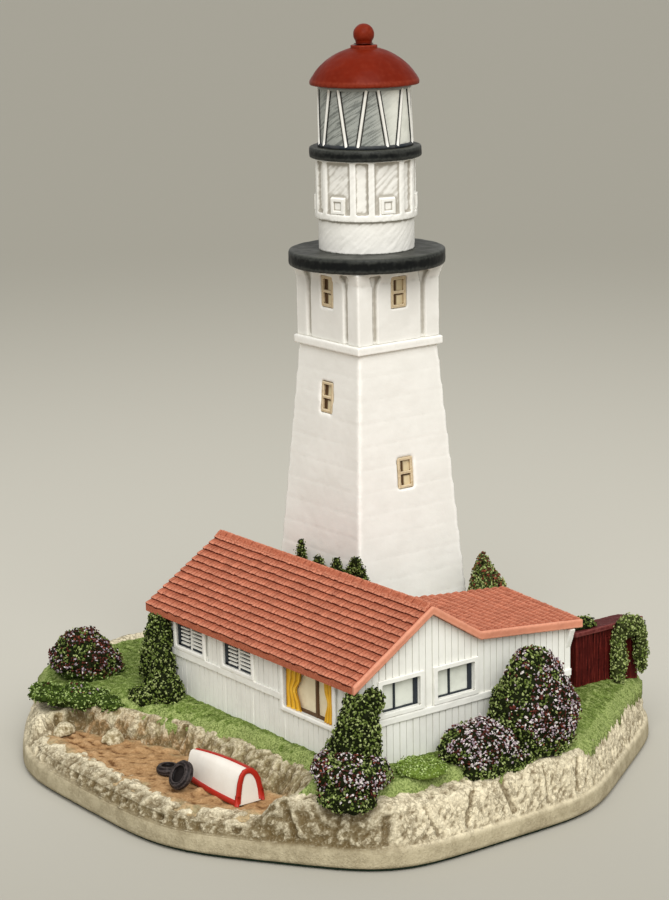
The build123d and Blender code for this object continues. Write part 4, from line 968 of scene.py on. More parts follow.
def build_sand(settings):
    """The beach: dented sand with two trails of footprints, paler where the rock comes near."""
    low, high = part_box("beach_sand")

    def inside(xy):
        wobble = fractal(flat_points(xy), 4 * MM, 3)
        return np.minimum(plan_depth(xy) - 3.4 * MM, 0.9 * MM - beach_gap(xy)) + wobble * 0.8 * MM

    shape, xy = plan_grid(low, high, 0.36 * MM, 4)
    edge = inside(xy)
    height = high.z - 0.1 * MM - 0.9 * MM * (1 - step(0, 2.5 * MM, edge))
    height += 0.5 * MM * fractal(flat_points(xy), 4 * MM, 3)
    height += settings.sand_relief * fractal(flat_points(xy), 2.4 * MM, 2)
    rng = np.random.default_rng(11)
    footprints = 26
    for number in range(footprints):
        trail = number % 2
        share = number / footprints
        start = np.array([-25.0 + 30 * share, -45.5 - 6.5 * share + 2.2 * trail])
        spot = (start + rng.normal(0, 0.5, 2)) * MM
        away = (xy - spot) / np.array([0.85, 0.45]) / MM
        height -= 0.6 * MM * np.exp(-(away ** 2).sum(axis=1))
    piece = grid_slab("beach_sand_cast", shape, xy, edge > 0, height, low.z)
    store_relief(piece.data, 6, 0.22 * MM)
    spots = points_of(piece.data)
    patchy = fractal(spots, 2.5 * MM, 3)
    rocky = step(3.6 * MM, 0.6 * MM, inside(spots[:, :2]) + 2.0 * MM * patchy)
    store_tint(piece.data, blend_tints(settings.sand, settings.rock_dull, rocky))
    material = painted("Sand Paint", settings.sand, paint(92, 58, 28), paint(214, 178, 136), 0.85, 0.35,
                       (4 * MM, 0.25), (0.4 * MM, 0.08 * MM), 0.9, tinted=1.0, speckle=0.22, shine=0.1)
    return settle(piece, material, ["beach_sand"])


def build_boulders(settings):
    """Boulders on the beach, as worn rock."""
    def carve(points, normals):
        return 0.35 * MM * (fractal(points, 2.2 * MM, 3) + 0.5 * crags(points, 2.6 * MM))

    material = painted("Boulder Paint", paint(160, 146, 112), settings.rock_wash, settings.rock_light, 0.85,
                       0.5, (3 * MM, 0.4), (0.4 * MM, 0.08 * MM), 0.85, speckle=0.3, shine=0.1)
    return cast("boulders_cast", ["boulders"], material, 0.25 * MM, 0, MM, carve, 6, 0.15 * MM)


def build_tower(settings):
    """The tower's castings up to the dome, bar the windows and the lantern bars."""
    white = white_paint("Tower Paint", settings.tower_white, settings.shade)
    black = painted("Black Paint", settings.black, paint(10, 11, 11), paint(96, 98, 92), 0.6, 0.3,
                    (4 * MM, 0.3), (0.6 * MM, 0.03 * MM), 0.45, coat=0.05, tinted=1.0, shine=0.1)
    red = painted("Dome Paint", settings.dome, paint(70, 14, 4), paint(160, 74, 52), 0.7, 0.3,
                  (5 * MM, 0.2), (0.6 * MM, 0.02 * MM), 0.4, shine=0.06)
    axis = np.array((sum(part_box("lantern_drum"), Vector()) / 2).xy)
    hatches = islands("drum_hatches")

    def stucco(points, normals):
        """Plaster with faint level joints."""
        upright = 1 - np.abs(normals[:, 2])
        lines = groove(points[:, 2], 4.3 * MM, 0.03 * MM, 0.3 * MM)
        return (0.03 * MM * fractal(points, 1.3 * MM, 3) - lines) * upright

    def from_hatch(points, low, high):
        """Distances across and along the direction that a hatch faces, and up from its middle."""
        middle = (low + high) / 2
        outward = (middle[:2] - axis) / np.linalg.norm(middle[:2] - axis)
        offset = points[:, :2] - axis
        across = np.abs(offset[:, 0] * outward[1] - offset[:, 1] * outward[0])
        return across, offset @ outward, points[:, 2] - middle[2], outward

    def panel_share(points, low, high):
        """Share by which points lie in the panel round a hatch, but not behind the hatch."""
        across, facing, rise, _ = from_hatch(points, low, high)
        half = (high[2] - low[2]) / 2
        foot = low[2] - 0.15 * MM
        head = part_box("lantern_gallery")[0].z - 0.3 * MM
        share = step(2.7 * MM, 2.5 * MM, across) * (facing > 0) * (points[:, 2] < head)
        share *= step(foot - 0.1 * MM, foot + 0.1 * MM, points[:, 2])
        return share * ~((across < half + 0.15 * MM) & (np.abs(rise) < half + 0.15 * MM))

    def panelled(points, normals):
        """Brushed plaster with a sunken panel round each hatch."""
        brushed = 0.06 * MM * fractal(slanted(points - (*axis, 0), -120, 0.3), 0.9 * MM, 2)
        return brushed - 0.32 * MM * sum(panel_share(points, *hatch) for hatch in hatches)

    def sunken(points, normals):
        """Hatches with a sunken middle."""
        depth = np.zeros(len(points))
        for low, high in hatches:
            across, facing, rise, outward = from_hatch(points, low, high)
            half = (high[2] - low[2]) / 2
            inner = step(0.62, 0.5, across / half) * step(0.62, 0.5, np.abs(rise) / half) * (facing > 0)
            depth += inner * step(0.6, 0.8, normals[:, :2] @ outward)
        return -0.28 * MM * depth

    def capped(points, normals):
        """A dome drawn in above its rim to a shallow cap."""
        low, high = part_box("dome_roof")
        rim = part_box("lantern_glazing")[1].z + 0.7 * MM
        reach, rise = (high.x - low.x) / 2, high.z - rim
        ball = (reach ** 2 + rise ** 2) / (2 * rise)
        offset = points[:, :2] - axis
        radius = np.minimum(np.linalg.norm(offset, axis=1), reach)
        upright = np.sqrt(ball ** 2 - radius ** 2)
        over = points[:, 2] - (rim + upright - ball + rise)
        facing = (normals[:, :2] * offset).sum(axis=1) / upright + normals[:, 2]
        shift = -np.clip(over / np.maximum(facing, 0.5), 0, 1.1 * MM)
        return shift * (points[:, 2] > rim) * step(-0.1, 0.1, normals[:, 2])

    def necked(points, normals):
        """A ball on a thick neck."""
        low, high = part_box("vent_ball")
        ball = (high.x - low.x) / 2
        below = step(high.z - 3.0 * MM, high.z - 3.5 * MM, points[:, 2])
        gap = 0.85 * ball - np.linalg.norm(points[:, :2] - axis, axis=1)
        return np.clip(gap, 0, 0.7 * MM) * below * (1 - np.abs(normals[:, 2]))

    cast("tower_shaft_cast", ["tower_shaft"], white, 0.36 * MM, 0.03 * MM, 9 * MM, stucco,
         7, 0.16 * MM)
    cast("belt_course_cast", ["belt_course"], white, 0.26 * MM)
    cast("watch_room_cast", ["watch_room"], white, 0.22 * MM, 0.04 * MM, 2 * MM, None, 10,
         0.16 * MM)
    drum = cast("lantern_drum_cast", ["lantern_drum"], white, 0.2 * MM, 0.03 * MM, 1.5 * MM,
                panelled, 9, 0.12 * MM)
    sink_relief(drum.data, 0.22 * sum(panel_share(points_of(drum.data), *hatch) for hatch in hatches))
    cast("drum_hatches_cast", ["drum_hatches"], white, 0.1 * MM, 0.02 * MM, MM, sunken, 9,
         0.1 * MM)
    cast("dome_cast", ["dome_roof"], red, 0.24 * MM, 0.07 * MM, 4 * MM, capped, 6, 0.06 * MM)
    cast("vent_ball_cast", ["vent_ball"], red, 0.14 * MM, 0.04 * MM, 1.5 * MM, necked, 6,
         0.05 * MM)
    for node in ("gallery_deck", "lantern_gallery"):
        piece = cast(node + "_cast", [node], black, 0.24 * MM, 0.05 * MM, 2 * MM,
                     scale=0.08 * MM)
        # Painted highlight on the faces that point up.
        level = step(0.5, 0.95, normals_of(piece.data)[:, 2])
        store_tint(piece.data, blend_tints(settings.black, settings.top_lit_black, level))


def lantern_point(turn, share):
    """A point on the lantern's sloping glass, by turn and share of its height."""
    low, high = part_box("lantern_glazing")
    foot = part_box("lantern_gallery")[1].z
    centre = (low + high) / 2
    radius = (high.x - low.x) / 2 - 0.25 * MM * share
    height = foot + (high.z - foot) * share
    return (centre.x + radius * math.cos(turn), centre.y + radius * math.sin(turn), height)


def build_lantern(settings):
    """The lantern's grey glass with slanting brush strokes, and its bars, each lined in black."""
    glass = painted("Lantern Glass", settings.glass, paint(104, 108, 106), paint(222, 224, 214), 0.6, 0.4,
                    (2.2 * MM, 0.12), (0.5 * MM, 0.03 * MM), 0.4, coat=0.1, tinted=1.0)
    piece = cast("lantern_glass", ["lantern_glazing"], glass, 0.16 * MM, 0.03 * MM, 1.5 * MM)
    low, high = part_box("lantern_glazing")
    points = points_of(piece.data) - np.array((low + high) / 2)
    stroke = step(-0.3, 0.1, fractal(slanted(points, -200, 0.2), 0.4 * MM, 2))
    tint = blend_tints(settings.glass_stroke, settings.glass, stroke)
    # Painted highlight: the panes turned towards the light are painted brighter.
    to_light = math.radians(37.6)
    bright = step(0.1, 0.8, np.sin(np.arctan2(points[:, 1], points[:, 0]) + to_light))
    tint = tint + (np.asarray(settings.glass_bright) - tint) * 0.9 * bright[:, None]
    rise = points[:, 2] + (high.z + low.z) / 2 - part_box("lantern_gallery")[1].z
    foot = step(0.9 * MM, 0.3 * MM, rise + 0.4 * MM * fractal(points, 0.8 * MM, 2))
    tint = tint + (np.asarray(settings.slate) - tint) * 0.7 * foot[:, None]
    store_tint(piece.data, tint)
    bars = 14
    bar_circle = 8.6 * MM
    white = paint(240, 238, 230)
    grey = paint(150, 153, 148)
    black = paint(22, 24, 24)
    shell = Shell()
    shares = np.linspace(0.04, 0.96, 9)
    for bar in range(bars):
        turn = math.radians(-41 + 360 / bars * bar)
        lean = math.radians(6) * (1 if bar % 2 == 0 else -1)
        for offset, width, stand, tint in (
            (0.0, settings.bar_width, 0.42 * MM, white),
            (-0.5, settings.bar_line, 0.2 * MM, black),
            (0.5, settings.bar_line, 0.2 * MM, black),
        ):
            shift = offset * (settings.bar_width + settings.bar_line) / bar_circle
            turns = [turn + lean * (2 * share - 1) + shift for share in shares]
            path = [lantern_point(angle, share) for angle, share in zip(turns, shares)]
            outward = [(math.cos(angle), math.sin(angle), 0) for angle in turns]
            shell.strip(path, outward, width, stand, tint)
    for share, tint in ((0.03, settings.slate), (0.97, grey)):
        turns = np.linspace(0, 2 * math.pi, 97)
        path = [lantern_point(angle, share) for angle in turns]
        shell.strip(path, [(math.cos(a), math.sin(a), 0) for a in turns], 0.7 * MM, 0.36 * MM, tuple(tint))
    piece = shell.piece("lantern_bars")
    return settle(piece, tinted_paint("Bar Paint", settings.shade, 0.5), ["lantern_cage"])


def build_tower_windows(settings):
    """The tower's window frames, panes and door."""
    tan = painted("Tan Paint", settings.tan, paint(88, 62, 34), paint(236, 222, 194), 0.9, 0.5,
                  (1.5 * MM, 0.2), (0.3 * MM, 0.02 * MM), 0.6)
    cast("tower_window_frames", ["tower_frames"], tan, 0.1 * MM, 0.03 * MM, MM)
    pane = tinted_paint("Tower Pane Paint", paint(70, 46, 24), 0.45, 0.6)
    piece = cast("tower_window_panes", ["tower_panes"], pane, 0.1 * MM)
    points = points_of(piece.data)
    shaded = np.zeros(len(points))
    for low, high in islands("tower_panes"):
        inside = ((points > low - 0.3 * MM) & (points < high + 0.3 * MM)).all(axis=1)
        share = (points - low) / (high - low)
        across = share[:, 0] if high[0] - low[0] > high[1] - low[1] else share[:, 1]
        half = share[:, 2] * 2 % 1
        shaded[inside] = np.maximum(step(0.5, 0.38, across), step(0.72, 0.82, half))[inside]
    store_tint(piece.data, blend_tints(settings.pane_cream, settings.pane_brown, shaded))

    def planks(points, normals):
        """Grooves between upright planks."""
        return -groove(points[:, 0], 1.4 * MM, 0.2 * MM, 0.14 * MM) * (np.abs(normals[:, 1]) > 0.5)

    brown = painted("Door Paint", paint(112, 72, 42), paint(52, 30, 16), paint(168, 122, 82), 0.8, 0.5,
                    (2 * MM, 0.3), (0.3 * MM, 0.04 * MM), 0.6)
    for node in ("tower_door", "back_door"):
        cast(node + "_boards", [node], brown, 0.12 * MM, 0.03 * MM, MM, planks)


def wall_top():
    """The gable wall's top edge, as (y, z) from front to back."""
    points = points_of(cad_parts["house_walls"].data)
    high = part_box("house_walls")[1]
    eaves = 28.4 * MM
    on_gable = points[(points[:, 0] > high.x - 0.01 * MM) & (points[:, 2] > eaves)]
    line = sorted({(round(y, 6), round(z, 6)) for _, y, z in on_gable})
    best = {}
    for y, z in line:
        best[y] = max(z, best.get(y, 0))
    return sorted(best.items())


def build_walls(settings):
    """The house walls, boarded upright with grooves between the boards."""
    low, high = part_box("house_walls")
    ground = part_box("lawn")[1].z
    top_y, top_z = zip(*wall_top())
    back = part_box("back_door")[1].y + 0.2 * MM
    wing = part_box("wing_roof")[0].x + 1.3 * MM
    piece = copy_solids("house_walls_boarded", ["house_walls"])
    points = points_of(piece.data)
    sink = settings.board_depth
    reveal = 0.16 * MM
    near = 0.02 * MM
    for axis, plane, shift in (
        (0, low.x, sink), (0, high.x, -sink), (1, low.y, sink), (1, back, -sink), (1, high.y, -sink),
        (0, wing, sink),
    ):
        points[np.abs(points[:, axis] - plane) < near, axis] += shift
    core = points.tolist()
    faces = [list(polygon.vertices) for polygon in piece.data.polygons]
    bpy.data.objects.remove(piece)
    shell = Shell()
    shell.add(core, faces)
    rng = np.random.default_rng(5)
    front = islands("louvre_backs") + islands("picture_pane")
    openings = {
        "front": [(a[0], b[0], a[2], b[2]) for a, b in front],
        "gable": [(a[1], b[1], a[2], b[2]) for a, b in islands("gable_panes")],
        "rear": [(a[0], b[0], a[2] - MM, b[2]) for a, b in islands("back_door")],
    }

    def sloping(y):
        """Height of the walls' top at a place along the gable."""
        return float(np.interp(y, top_y, top_z))

    def board(wall, start, end, crest, point):
        """Append one upright board, cut where it meets openings."""
        under = 0.05 * MM
        lift = rng.uniform(-0.05, 0.05) * MM
        cuts = [ground - 0.3 * MM, crest((start + end) / 2) - under]
        for left, right, sill, head in openings.get(wall, ()):
            if left - reveal < end and right + reveal > start:
                cuts += [sill - reveal, head + reveal]
        cuts.sort()
        for foot, head in zip(cuts[0::2], cuts[1::2]):
            corners = []
            for along in (start, end):
                for height in (foot, head):
                    if height == head == cuts[-1]:
                        height = crest(along) - under
                    corners.append(point(along, height, -sink - near))
                    corners.append(point(along, height, lift))
            shell.add(corners, BLOCK_FACES)

    front_top, back_top = sloping(low.y), sloping(back)
    places = {
        "front": ((low.x, high.x), lambda a: front_top, lambda a, z, d: (a, low.y - d, z)),
        "gable": ((low.y, high.y), sloping, lambda a, z, d: (high.x + d, a, z)),
        "left": ((low.y, back), sloping, lambda a, z, d: (low.x - d, a, z)),
        "rear": ((low.x, wing), lambda a: back_top, lambda a, z, d: (a, back + d, z)),
        "wing": ((back, high.y), sloping, lambda a, z, d: (wing - d, a, z)),
        "end": ((wing, high.x), lambda a: top_z[-1], lambda a, z, d: (a, high.y + d, z)),
    }
    slimmest = 0.05 * MM
    for wall, ((start, end), crest, point) in places.items():
        count = max(1, round((end - start) / settings.board_pitch))
        pitch = (end - start) / count
        edges = {start, end}
        for left, right, _, _ in openings.get(wall, ()):
            edges.update((left - reveal, right + reveal))
        for index in range(count):
            left = start + pitch * index + settings.board_gap / 2
            right = start + pitch * (index + 1) - settings.board_gap / 2
            inside = sorted(edge for edge in edges if left + slimmest < edge < right - slimmest)
            splits = [left, *inside, right]
            for first, second in zip(splits, splits[1:]):
                board(wall, first, second, crest, point)
    wall = shell.piece("house_walls_boarded", smooth=False)
    white = painted("Wall Paint", settings.house_white, settings.shade, paint(252, 250, 243), 0.0, 0.0,
                    (6 * MM, 0.12), (0.5 * MM, 0.03 * MM), 0.55)
    return settle(wall, white, ["house_walls"])


def build_wall_trim(settings):
    """The band, the window surrounds, the bracket and the slats, in white."""
    white = white_paint("Trim Paint", settings.house_white, settings.shade, 0.6)
    for node in ("wall_band", "front_surrounds", "gable_surrounds", "eave_bracket"):
        cast(node + "_cast", [node], white, 0.15 * MM, 0.05 * MM, 1.8 * MM,
             scale=0.06 * MM)
    slats = Shell()
    windows = islands("louvre_backs")
    half = 0.15 * MM
    for low, high in islands("louvre_slats"):
        middle = (low[2] + high[2]) / 2
        left = low[0]
        if any(abs(left - window[0][0]) < MM for window in windows):
            left += 0.9 * MM
        slats.block((left, low[1] + 0.25 * MM, middle - half), (high[0], high[1], middle + half))
    settle(slats.piece("louvre_slats_cast", False), white, ["louvre_slats"])


def frame_bars(shell, box, face, widths, bars, deep, tint):
    """Append a window frame and upright bars; widths are its low side, high side, foot and head."""
    axis, plane = face
    side = 1 - axis
    low, high = np.array(box[0]), np.array(box[1])
    inner = (low[axis] + high[axis]) / 2
    for across in (side, 2):
        low[across] -= 0.12 * MM
        high[across] += 0.12 * MM
    parts = [
        (side, low[side], low[side] + widths[0] * MM, deep, tint),
        (side, high[side] - widths[1] * MM, high[side], deep, tint),
        (2, low[2], low[2] + widths[2] * MM, deep, tint),
        (2, high[2] - widths[3] * MM, high[2], deep, tint),
    ]
    for share, half, tone in bars:
        middle = low[side] + (high[side] - low[side]) * share
        parts.append((side, middle - half * MM, middle + half * MM, deep - 0.05 * MM, tone))
    for across, start, end, sunk, tone in parts:
        a, b = low.copy(), high.copy()
        a[across], b[across] = start, end
        a[axis], b[axis] = sorted((inner, plane - sunk if plane > inner else plane + sunk))
        shell.block(a, b, tone)


def build_house_windows(settings):
    """The house's panes, frames and curtains."""
    low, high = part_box("house_walls")
    dark = painted("Louvre Back Paint", paint(20, 23, 27), paint(10, 12, 14), paint(44, 50, 56), 0.6, 0.3,
                   (3 * MM, 0.4), (0.4 * MM, 0.02 * MM), 0.5, shine=0.1)
    cast("louvre_backs_cast", ["louvre_backs"], dark, 0.12 * MM)
    for name, base, wash, light, node, slot in (
        ("Pane Paint", (226, 229, 217), (184, 186, 176), (242, 242, 232),
         "gable_panes", "pane"),
        ("Picture Pane Paint", (244, 232, 198), (206, 186, 146), (250, 244, 226),
         "picture_pane", "beige_pane"),
    ):
        pane = painted(name, paint(*base), paint(*wash), paint(*light), 0.6, 0.4, (3 * MM, 0.3),
                       (0.6 * MM, 0.02 * MM), 0.4, coat=0.15)
        cast(node + "_cast", [node], pane, 0.12 * MM)
    slate = tuple(settings.slate)
    white = paint(232, 231, 224)
    brown = paint(96, 70, 46)
    front, gable = (1, low.y), (0, high.x)
    frames = tinted_paint("Frame Paint", paint(20, 20, 22), 0.55, 0.5)
    # The wide side of each frame stands for the window's reveal: partly dark paint and partly painted shade.
    for name, node, pane, slot, face, widths, bars, deep, tint in (
        ("louvre_frames_cast", "louvre_frames", "louvre_backs", "dark_frame", front, (0.9, 0.2, 0.4, 0.2),
         ((0.53, 0.26, white),), 0.1 * MM, slate),
        ("gable_sashes_cast", "gable_sashes", "gable_panes", "dark_frame", gable, (0.06, 0.75, 0.14, 0.1),
         ((0.386, 0.11, slate),), 0.5 * MM, slate),
        ("picture_sash_cast", "picture_sash", "picture_pane", "tan_frame", front, (0.5, 0.3, 0.5, 0.3),
         ((0.62, 0.26, brown),), 0.5 * MM, brown),
    ):
        shell = Shell()
        for box in islands(pane):
            frame_bars(shell, box, face, widths, bars, deep, tint)
        settle(shell.piece(name, False), frames, [node])
    build_curtains(settings)


def build_curtains(settings):
    """Two tied-back curtains with pleats, the left one fuller."""
    shell = Shell()
    for number, (low, high) in enumerate(islands("curtains")):
        outer = low[0] + 0.4 * MM if number == 0 else high[0]
        side = 1 if number == 0 else -1
        full = 1.2 if number == 0 else 0.75
        rows = []
        for share in np.linspace(0, 1, 25):
            tied = float(np.interp(share, (0, 0.3, 0.5, 0.58, 0.8, 1), (1.0, 0.9, 0.64, 0.62, 0.84, 0.95)))
            width = (high[0] - low[0]) * full * tied
            z = high[2] + 0.1 * MM - share * (high[2] - low[2] + 0.2 * MM)
            front = []
            rear = []
            for place in np.linspace(0, 1, 29):
                pleat = math.sin(place * math.pi * 6 + 0.6 * share)
                depth = low[1] + 0.28 * MM - 0.16 * MM * pleat
                x = outer + side * width * place
                front.append((x, depth, z))
                rear.append((x, depth + 0.34 * MM, z))
            rows.append(front + rear[::-1])
        start = len(shell.vertices)
        shell.rows(rows, tuple(settings.curtain), closed=True)
        width = len(rows[0])
        last = start + width * (len(rows) - 1)
        shell.faces.append([start + index for index in range(width)])
        shell.faces.append([last + index for index in reversed(range(width))])
    piece = shell.piece("curtains_cast")
    store_relief(piece.data, 4, 0.08 * MM)
    material = tinted_paint("Curtain Paint", paint(150, 96, 14), 0.6, 0.7, (246, 206, 96), 0.5)
    return settle(piece, material, ["curtains"])


def tile_slope(shell, foot, head, courses, left, right, settings, rng, skew=0.0):
    """Append courses of tiles from foot to head, both (y, z); skew moves the eave's left end along."""
    run = Vector((0, head[0] - foot[0], head[1] - foot[1]))
    normal = Vector((0, -run.z, run.y)).normalized()
    turned = normal.z < 0
    if turned:
        normal.negate()
    tiles = max(1, round((right - left) / settings.tile_pitch))
    pitch = (right - left) / tiles
    base, wash, light = (np.array(tone) for tone in (settings.tile, settings.tile_wash, settings.tile_light))
    for course in range(courses):
        slide = rng.uniform(-0.05, 0.05, tiles)
        lift = rng.uniform(-0.05, 0.05, tiles) * MM
        bright = rng.uniform(0.88, 1.1, tiles)
        columns = [(tile, *part) for tile in range(tiles) for part in TILE_PARTS]
        rows = []
        tints = []
        for share, rise, washed, lit in TILE_ROWS:
            row = []
            tones = []
            for order, (tile, part, crown, tone) in enumerate(columns):
                x = left + pitch * (tile + part)
                climb = min((course + share + slide[tile] * (share < 0.1)) / courses, 1.0)
                swing = skew * (1 - (x - left) / (right - left)) * (1 - course / courses)
                up = (settings.tile_lap + lift[tile]) * rise + settings.tile_crown * crown * max(rise, 0)
                if order in (0, len(columns) - 1):
                    up = -0.3 * MM
                row.append(tuple(Vector((x, foot[0] + swing, foot[1])) + run * climb + normal * up))
                # The wash on the riser and under the next course is partly painted shade, and the light on
                # the lip is a painted highlight.
                mixed = base + (wash - base) * max(washed, 1 - tone)
                tones.append(tuple((mixed + (light - mixed) * lit * (tone > 0.8)) * bright[tile]))
            rows.append(row[::-1] if turned else row)
            tints.extend(tones[::-1] if turned else tones)
        shell.rows(rows, tints=tints)


def build_roofs(settings):
    """The tiled roofs, the ridge and the gable boards."""
    tile = painted("Tile Paint", settings.tile, settings.tile_wash, settings.tile_light, 0.0, 0.0,
                   (2.2 * MM, 0.15), (0.3 * MM, 0.05 * MM), 0.75, tinted=1.0, speckle=0.3, shine=0.1)
    main_low, main_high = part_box("main_roof")
    wing_low, wing_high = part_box("wing_roof")
    ridge_low, ridge_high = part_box("ridge_cap")
    ridge = ((ridge_low.y + ridge_high.y) / 2, settings.ridge_height)
    eave = (main_low.y, settings.eave_height)
    kink = (main_high.y, settings.kink_height)
    wing_eave = (settings.wing_eave_place, settings.wing_eave_height)
    rng = np.random.default_rng(21)
    for name, node, slopes in (
        ("main_roof_tiles", "main_roof", (
            (eave, ridge, 13, main_low.x, main_high.x, 0.0), (kink, ridge, 8, main_low.x, main_high.x, 0.0),
        )),
        ("wing_roof_tiles", "wing_roof", ((wing_eave, kink, 14, wing_low.x, wing_high.x, 2.6 * MM),)),
    ):
        shell = Shell()
        core = copy_solids(name, [node])
        shell.add(points_of(core.data).tolist(), [list(face.vertices) for face in core.data.polygons],
                  tuple(settings.tile))
        bpy.data.objects.remove(core)
        for foot, head, courses, left, right, skew in slopes:
            tile_slope(shell, foot, head, courses, left, right, settings, rng, skew)
        settle(shell.piece(name, smooth=False), tile, [node])

    def notches(points, normals):
        """Joints between the ridge's tiles."""
        return -groove(points[:, 0], 2.1 * MM, 0.08 * MM, 0.16 * MM)

    ridge_paint = painted("Ridge Paint", settings.tile, settings.tile_wash, settings.tile_light, 0.7, 0.5,
                          (2.2 * MM, 0.2), (0.3 * MM, 0.05 * MM), 0.75, speckle=0.3, shine=0.1)
    cast("ridge_tiles", ["ridge_cap"], ridge_paint, 0.18 * MM, 0.06 * MM, MM, notches, 6, 0.08 * MM)
    board = painted("Fascia Paint", settings.fascia, settings.tile_wash, paint(234, 166, 137), 0.5, 0.5,
                    (4 * MM, 0.15), (0.4 * MM, 0.03 * MM), 0.6)
    cast("gable_fascia_cast", ["gable_fascia"], board, 0.16 * MM, 0.05 * MM, 2 * MM,
         scale=0.06 * MM)


def build_shed(settings):
    """The red plank shed with its lean-to roof and door."""
    red = painted("Shed Paint", settings.shed, paint(34, 6, 6), paint(124, 48, 38), 0.9, 0.5, (2 * MM, 0.3),
                  (0.35 * MM, 0.06 * MM), 0.7, shine=0.08)

    def grain(points, normals):
        """Upright wood grain."""
        return 0.1 * MM * fractal(points * (1, 1, 0.15), 0.5 * MM, 2)

    for node, voxel in (("shed_walls", 0.13 * MM), ("shed_door", 0.12 * MM)):
        cast(node + "_cast", [node], red, voxel, 0.04 * MM, 1.5 * MM, grain, 6, 0.07 * MM)
    roof = painted("Shed Roof Paint", paint(92, 34, 32), paint(38, 12, 12), paint(140, 78, 72), 0.9, 0.5,
                   (2 * MM, 0.3), (0.35 * MM, 0.06 * MM), 0.7)
    cast("shed_roof_cast", ["shed_roof"], roof, 0.16 * MM, 0.08 * MM, 1.5 * MM,
         scale=0.07 * MM)


def boat_section(share, low, high):
    """One section of the upturned hull, near gunwale to far gunwale, as (y, z)."""
    narrow = 1 - 0.45 * max(0, 0.8 - share) ** 2 / 0.64
    height = (high.z - low.z) * (0.6 + 0.4 * narrow)
    half = (high.y - low.y) / 2 * narrow
    middle = (high.y + low.y) / 2
    outline = (
        (-1.0, 0.0), (-0.92, 0.3), (-0.8, 0.62), (-0.62, 0.86), (-0.4, 0.97), (-0.1, 1.0), (0.2, 0.97),
        (0.5, 0.86), (0.75, 0.66), (0.92, 0.34), (1.0, 0.0),
    )
    return [(middle + half * across, low.z + height * up) for across, up in outline]


def build_boat():
    """The upturned boat with its red trim."""
    low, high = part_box("boat_hull")
    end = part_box("boat_transom_trim")[1].x
    rows = []
    for share in np.linspace(0, 1, 26):
        x = low.x + share * (high.x - low.x)
        rows.append([(x, y, z) for y, z in boat_section(share, low, high)])
    shell = Shell()
    shell.rows(rows, paint(240, 234, 224))
    width = len(rows[0])
    last = width * (len(rows) - 1)
    shell.faces.append(list(range(width)))
    shell.faces.append([last + index for index in reversed(range(width))])
    for row in range(len(rows) - 1):
        a = row * width
        shell.faces.append([a, a + width, a + 2 * width - 1, a + width - 1])
    hull = tinted_paint("Boat Paint", paint(196, 180, 162), 0.5)
    piece = shell.piece("boat_hull_cast")
    piece.data.set_sharp_from_angle(angle=math.radians(38))
    settle(piece, hull, ["boat_hull"])
    trim = Shell()
    red = paint(176, 42, 28)
    rail = 0.45 * MM
    for corner, lift, outward in ((0, rail, (0, -1, 0.1)), (6, 0, (0, 0.2, 1)), (10, rail, (0, 1, 0.1))):
        path = [Vector(row[corner]) + Vector((0, 0, lift)) for row in rows[1:]]
        trim.strip(path, [outward] * len(path), 1.0 * MM, 0.3 * MM, red)
    arch = [Vector(point) for point in rows[-1]]
    centre = sum(arch, Vector()) / len(arch)
    path = [centre + (point - centre) * 0.9 for point in arch]
    for point in path:
        point.x = end - 0.3 * MM
    trim.strip(path, [(1, 0, 0)] * len(path), 1.0 * MM, 0.3 * MM, red)
    for start, stop in ((0, 1), (-1, -2)):
        trim.strip([arch[start], arch[stop]], [(0.7, -0.7, 0)] * 2, 0.8 * MM, 0.3 * MM, red)
    enamel = tinted_paint("Boat Trim Paint", paint(90, 14, 10), 0.4)
    return settle(trim.piece("boat_trim_cast"), enamel, ["boat_transom_trim"])


def build_tyres():
    """The two black tyres."""
    rubber = painted("Tyre Paint", paint(26, 20, 19), paint(9, 8, 8), paint(104, 94, 92), 0.7, 0.45,
                     (1.5 * MM, 0.3), (0.3 * MM, 0.04 * MM), 0.45, shine=0.12)
    for node in ("flat_tyre", "leaning_tyre"):
        cast(node + "_cast", [node], rubber, 0.14 * MM, 0.06 * MM, 1.2 * MM, scale=0.08 * MM)


def pick_tints(rng, palette, count):
    """Random colours out of a palette of (colour, chance)."""
    chances = np.array([share for _, share in palette])
    picks = rng.choice(len(palette), count, p=chances / chances.sum())
    return np.array([tint for tint, _ in palette])[picks]


def leaf_spots(mesh, cover, rng):
    """Random places on a mesh, bar its underside, and the directions that they face."""
    count = len(mesh.polygons)
    centres, facing, areas = np.empty(count * 3), np.empty(count * 3), np.empty(count)
    mesh.polygons.foreach_get("center", centres)
    mesh.polygons.foreach_get("normal", facing)
    mesh.polygons.foreach_get("area", areas)
    centres, facing = centres.reshape(-1, 3), facing.reshape(-1, 3)
    weight = areas * (facing[:, 2] > -0.6)
    chosen = rng.choice(count, int(weight.sum() * cover), p=weight / weight.sum())
    return centres[chosen], facing[chosen]


def leaf_corners(place, outward, leaf, settings, rng):
    """The corners of one small pointed leaf at each place."""
    count = (len(place), 1)
    tangent = np.cross(outward, rng.normal(0, 1, place.shape))
    tangent /= np.linalg.norm(tangent, axis=1)[:, None]
    axis = tangent + outward * rng.uniform(-0.1, 0.9, count) + np.array([0, 0, -0.25])
    axis /= np.linalg.norm(axis, axis=1)[:, None]
    across = np.cross(axis, outward)
    across /= np.maximum(np.linalg.norm(across, axis=1), 1e-9)[:, None]
    scale = leaf * rng.uniform(0.65, 1.2, count)
    long = axis * settings.leaf_length * scale / 2
    wide = across * settings.leaf_width * scale / 2
    tall = np.cross(across, axis) * 0.2 * MM * scale
    ends = [place - long, place + long, place - wide, place + wide, place + tall, place - tall * 0.6]
    return np.stack(ends, axis=1)


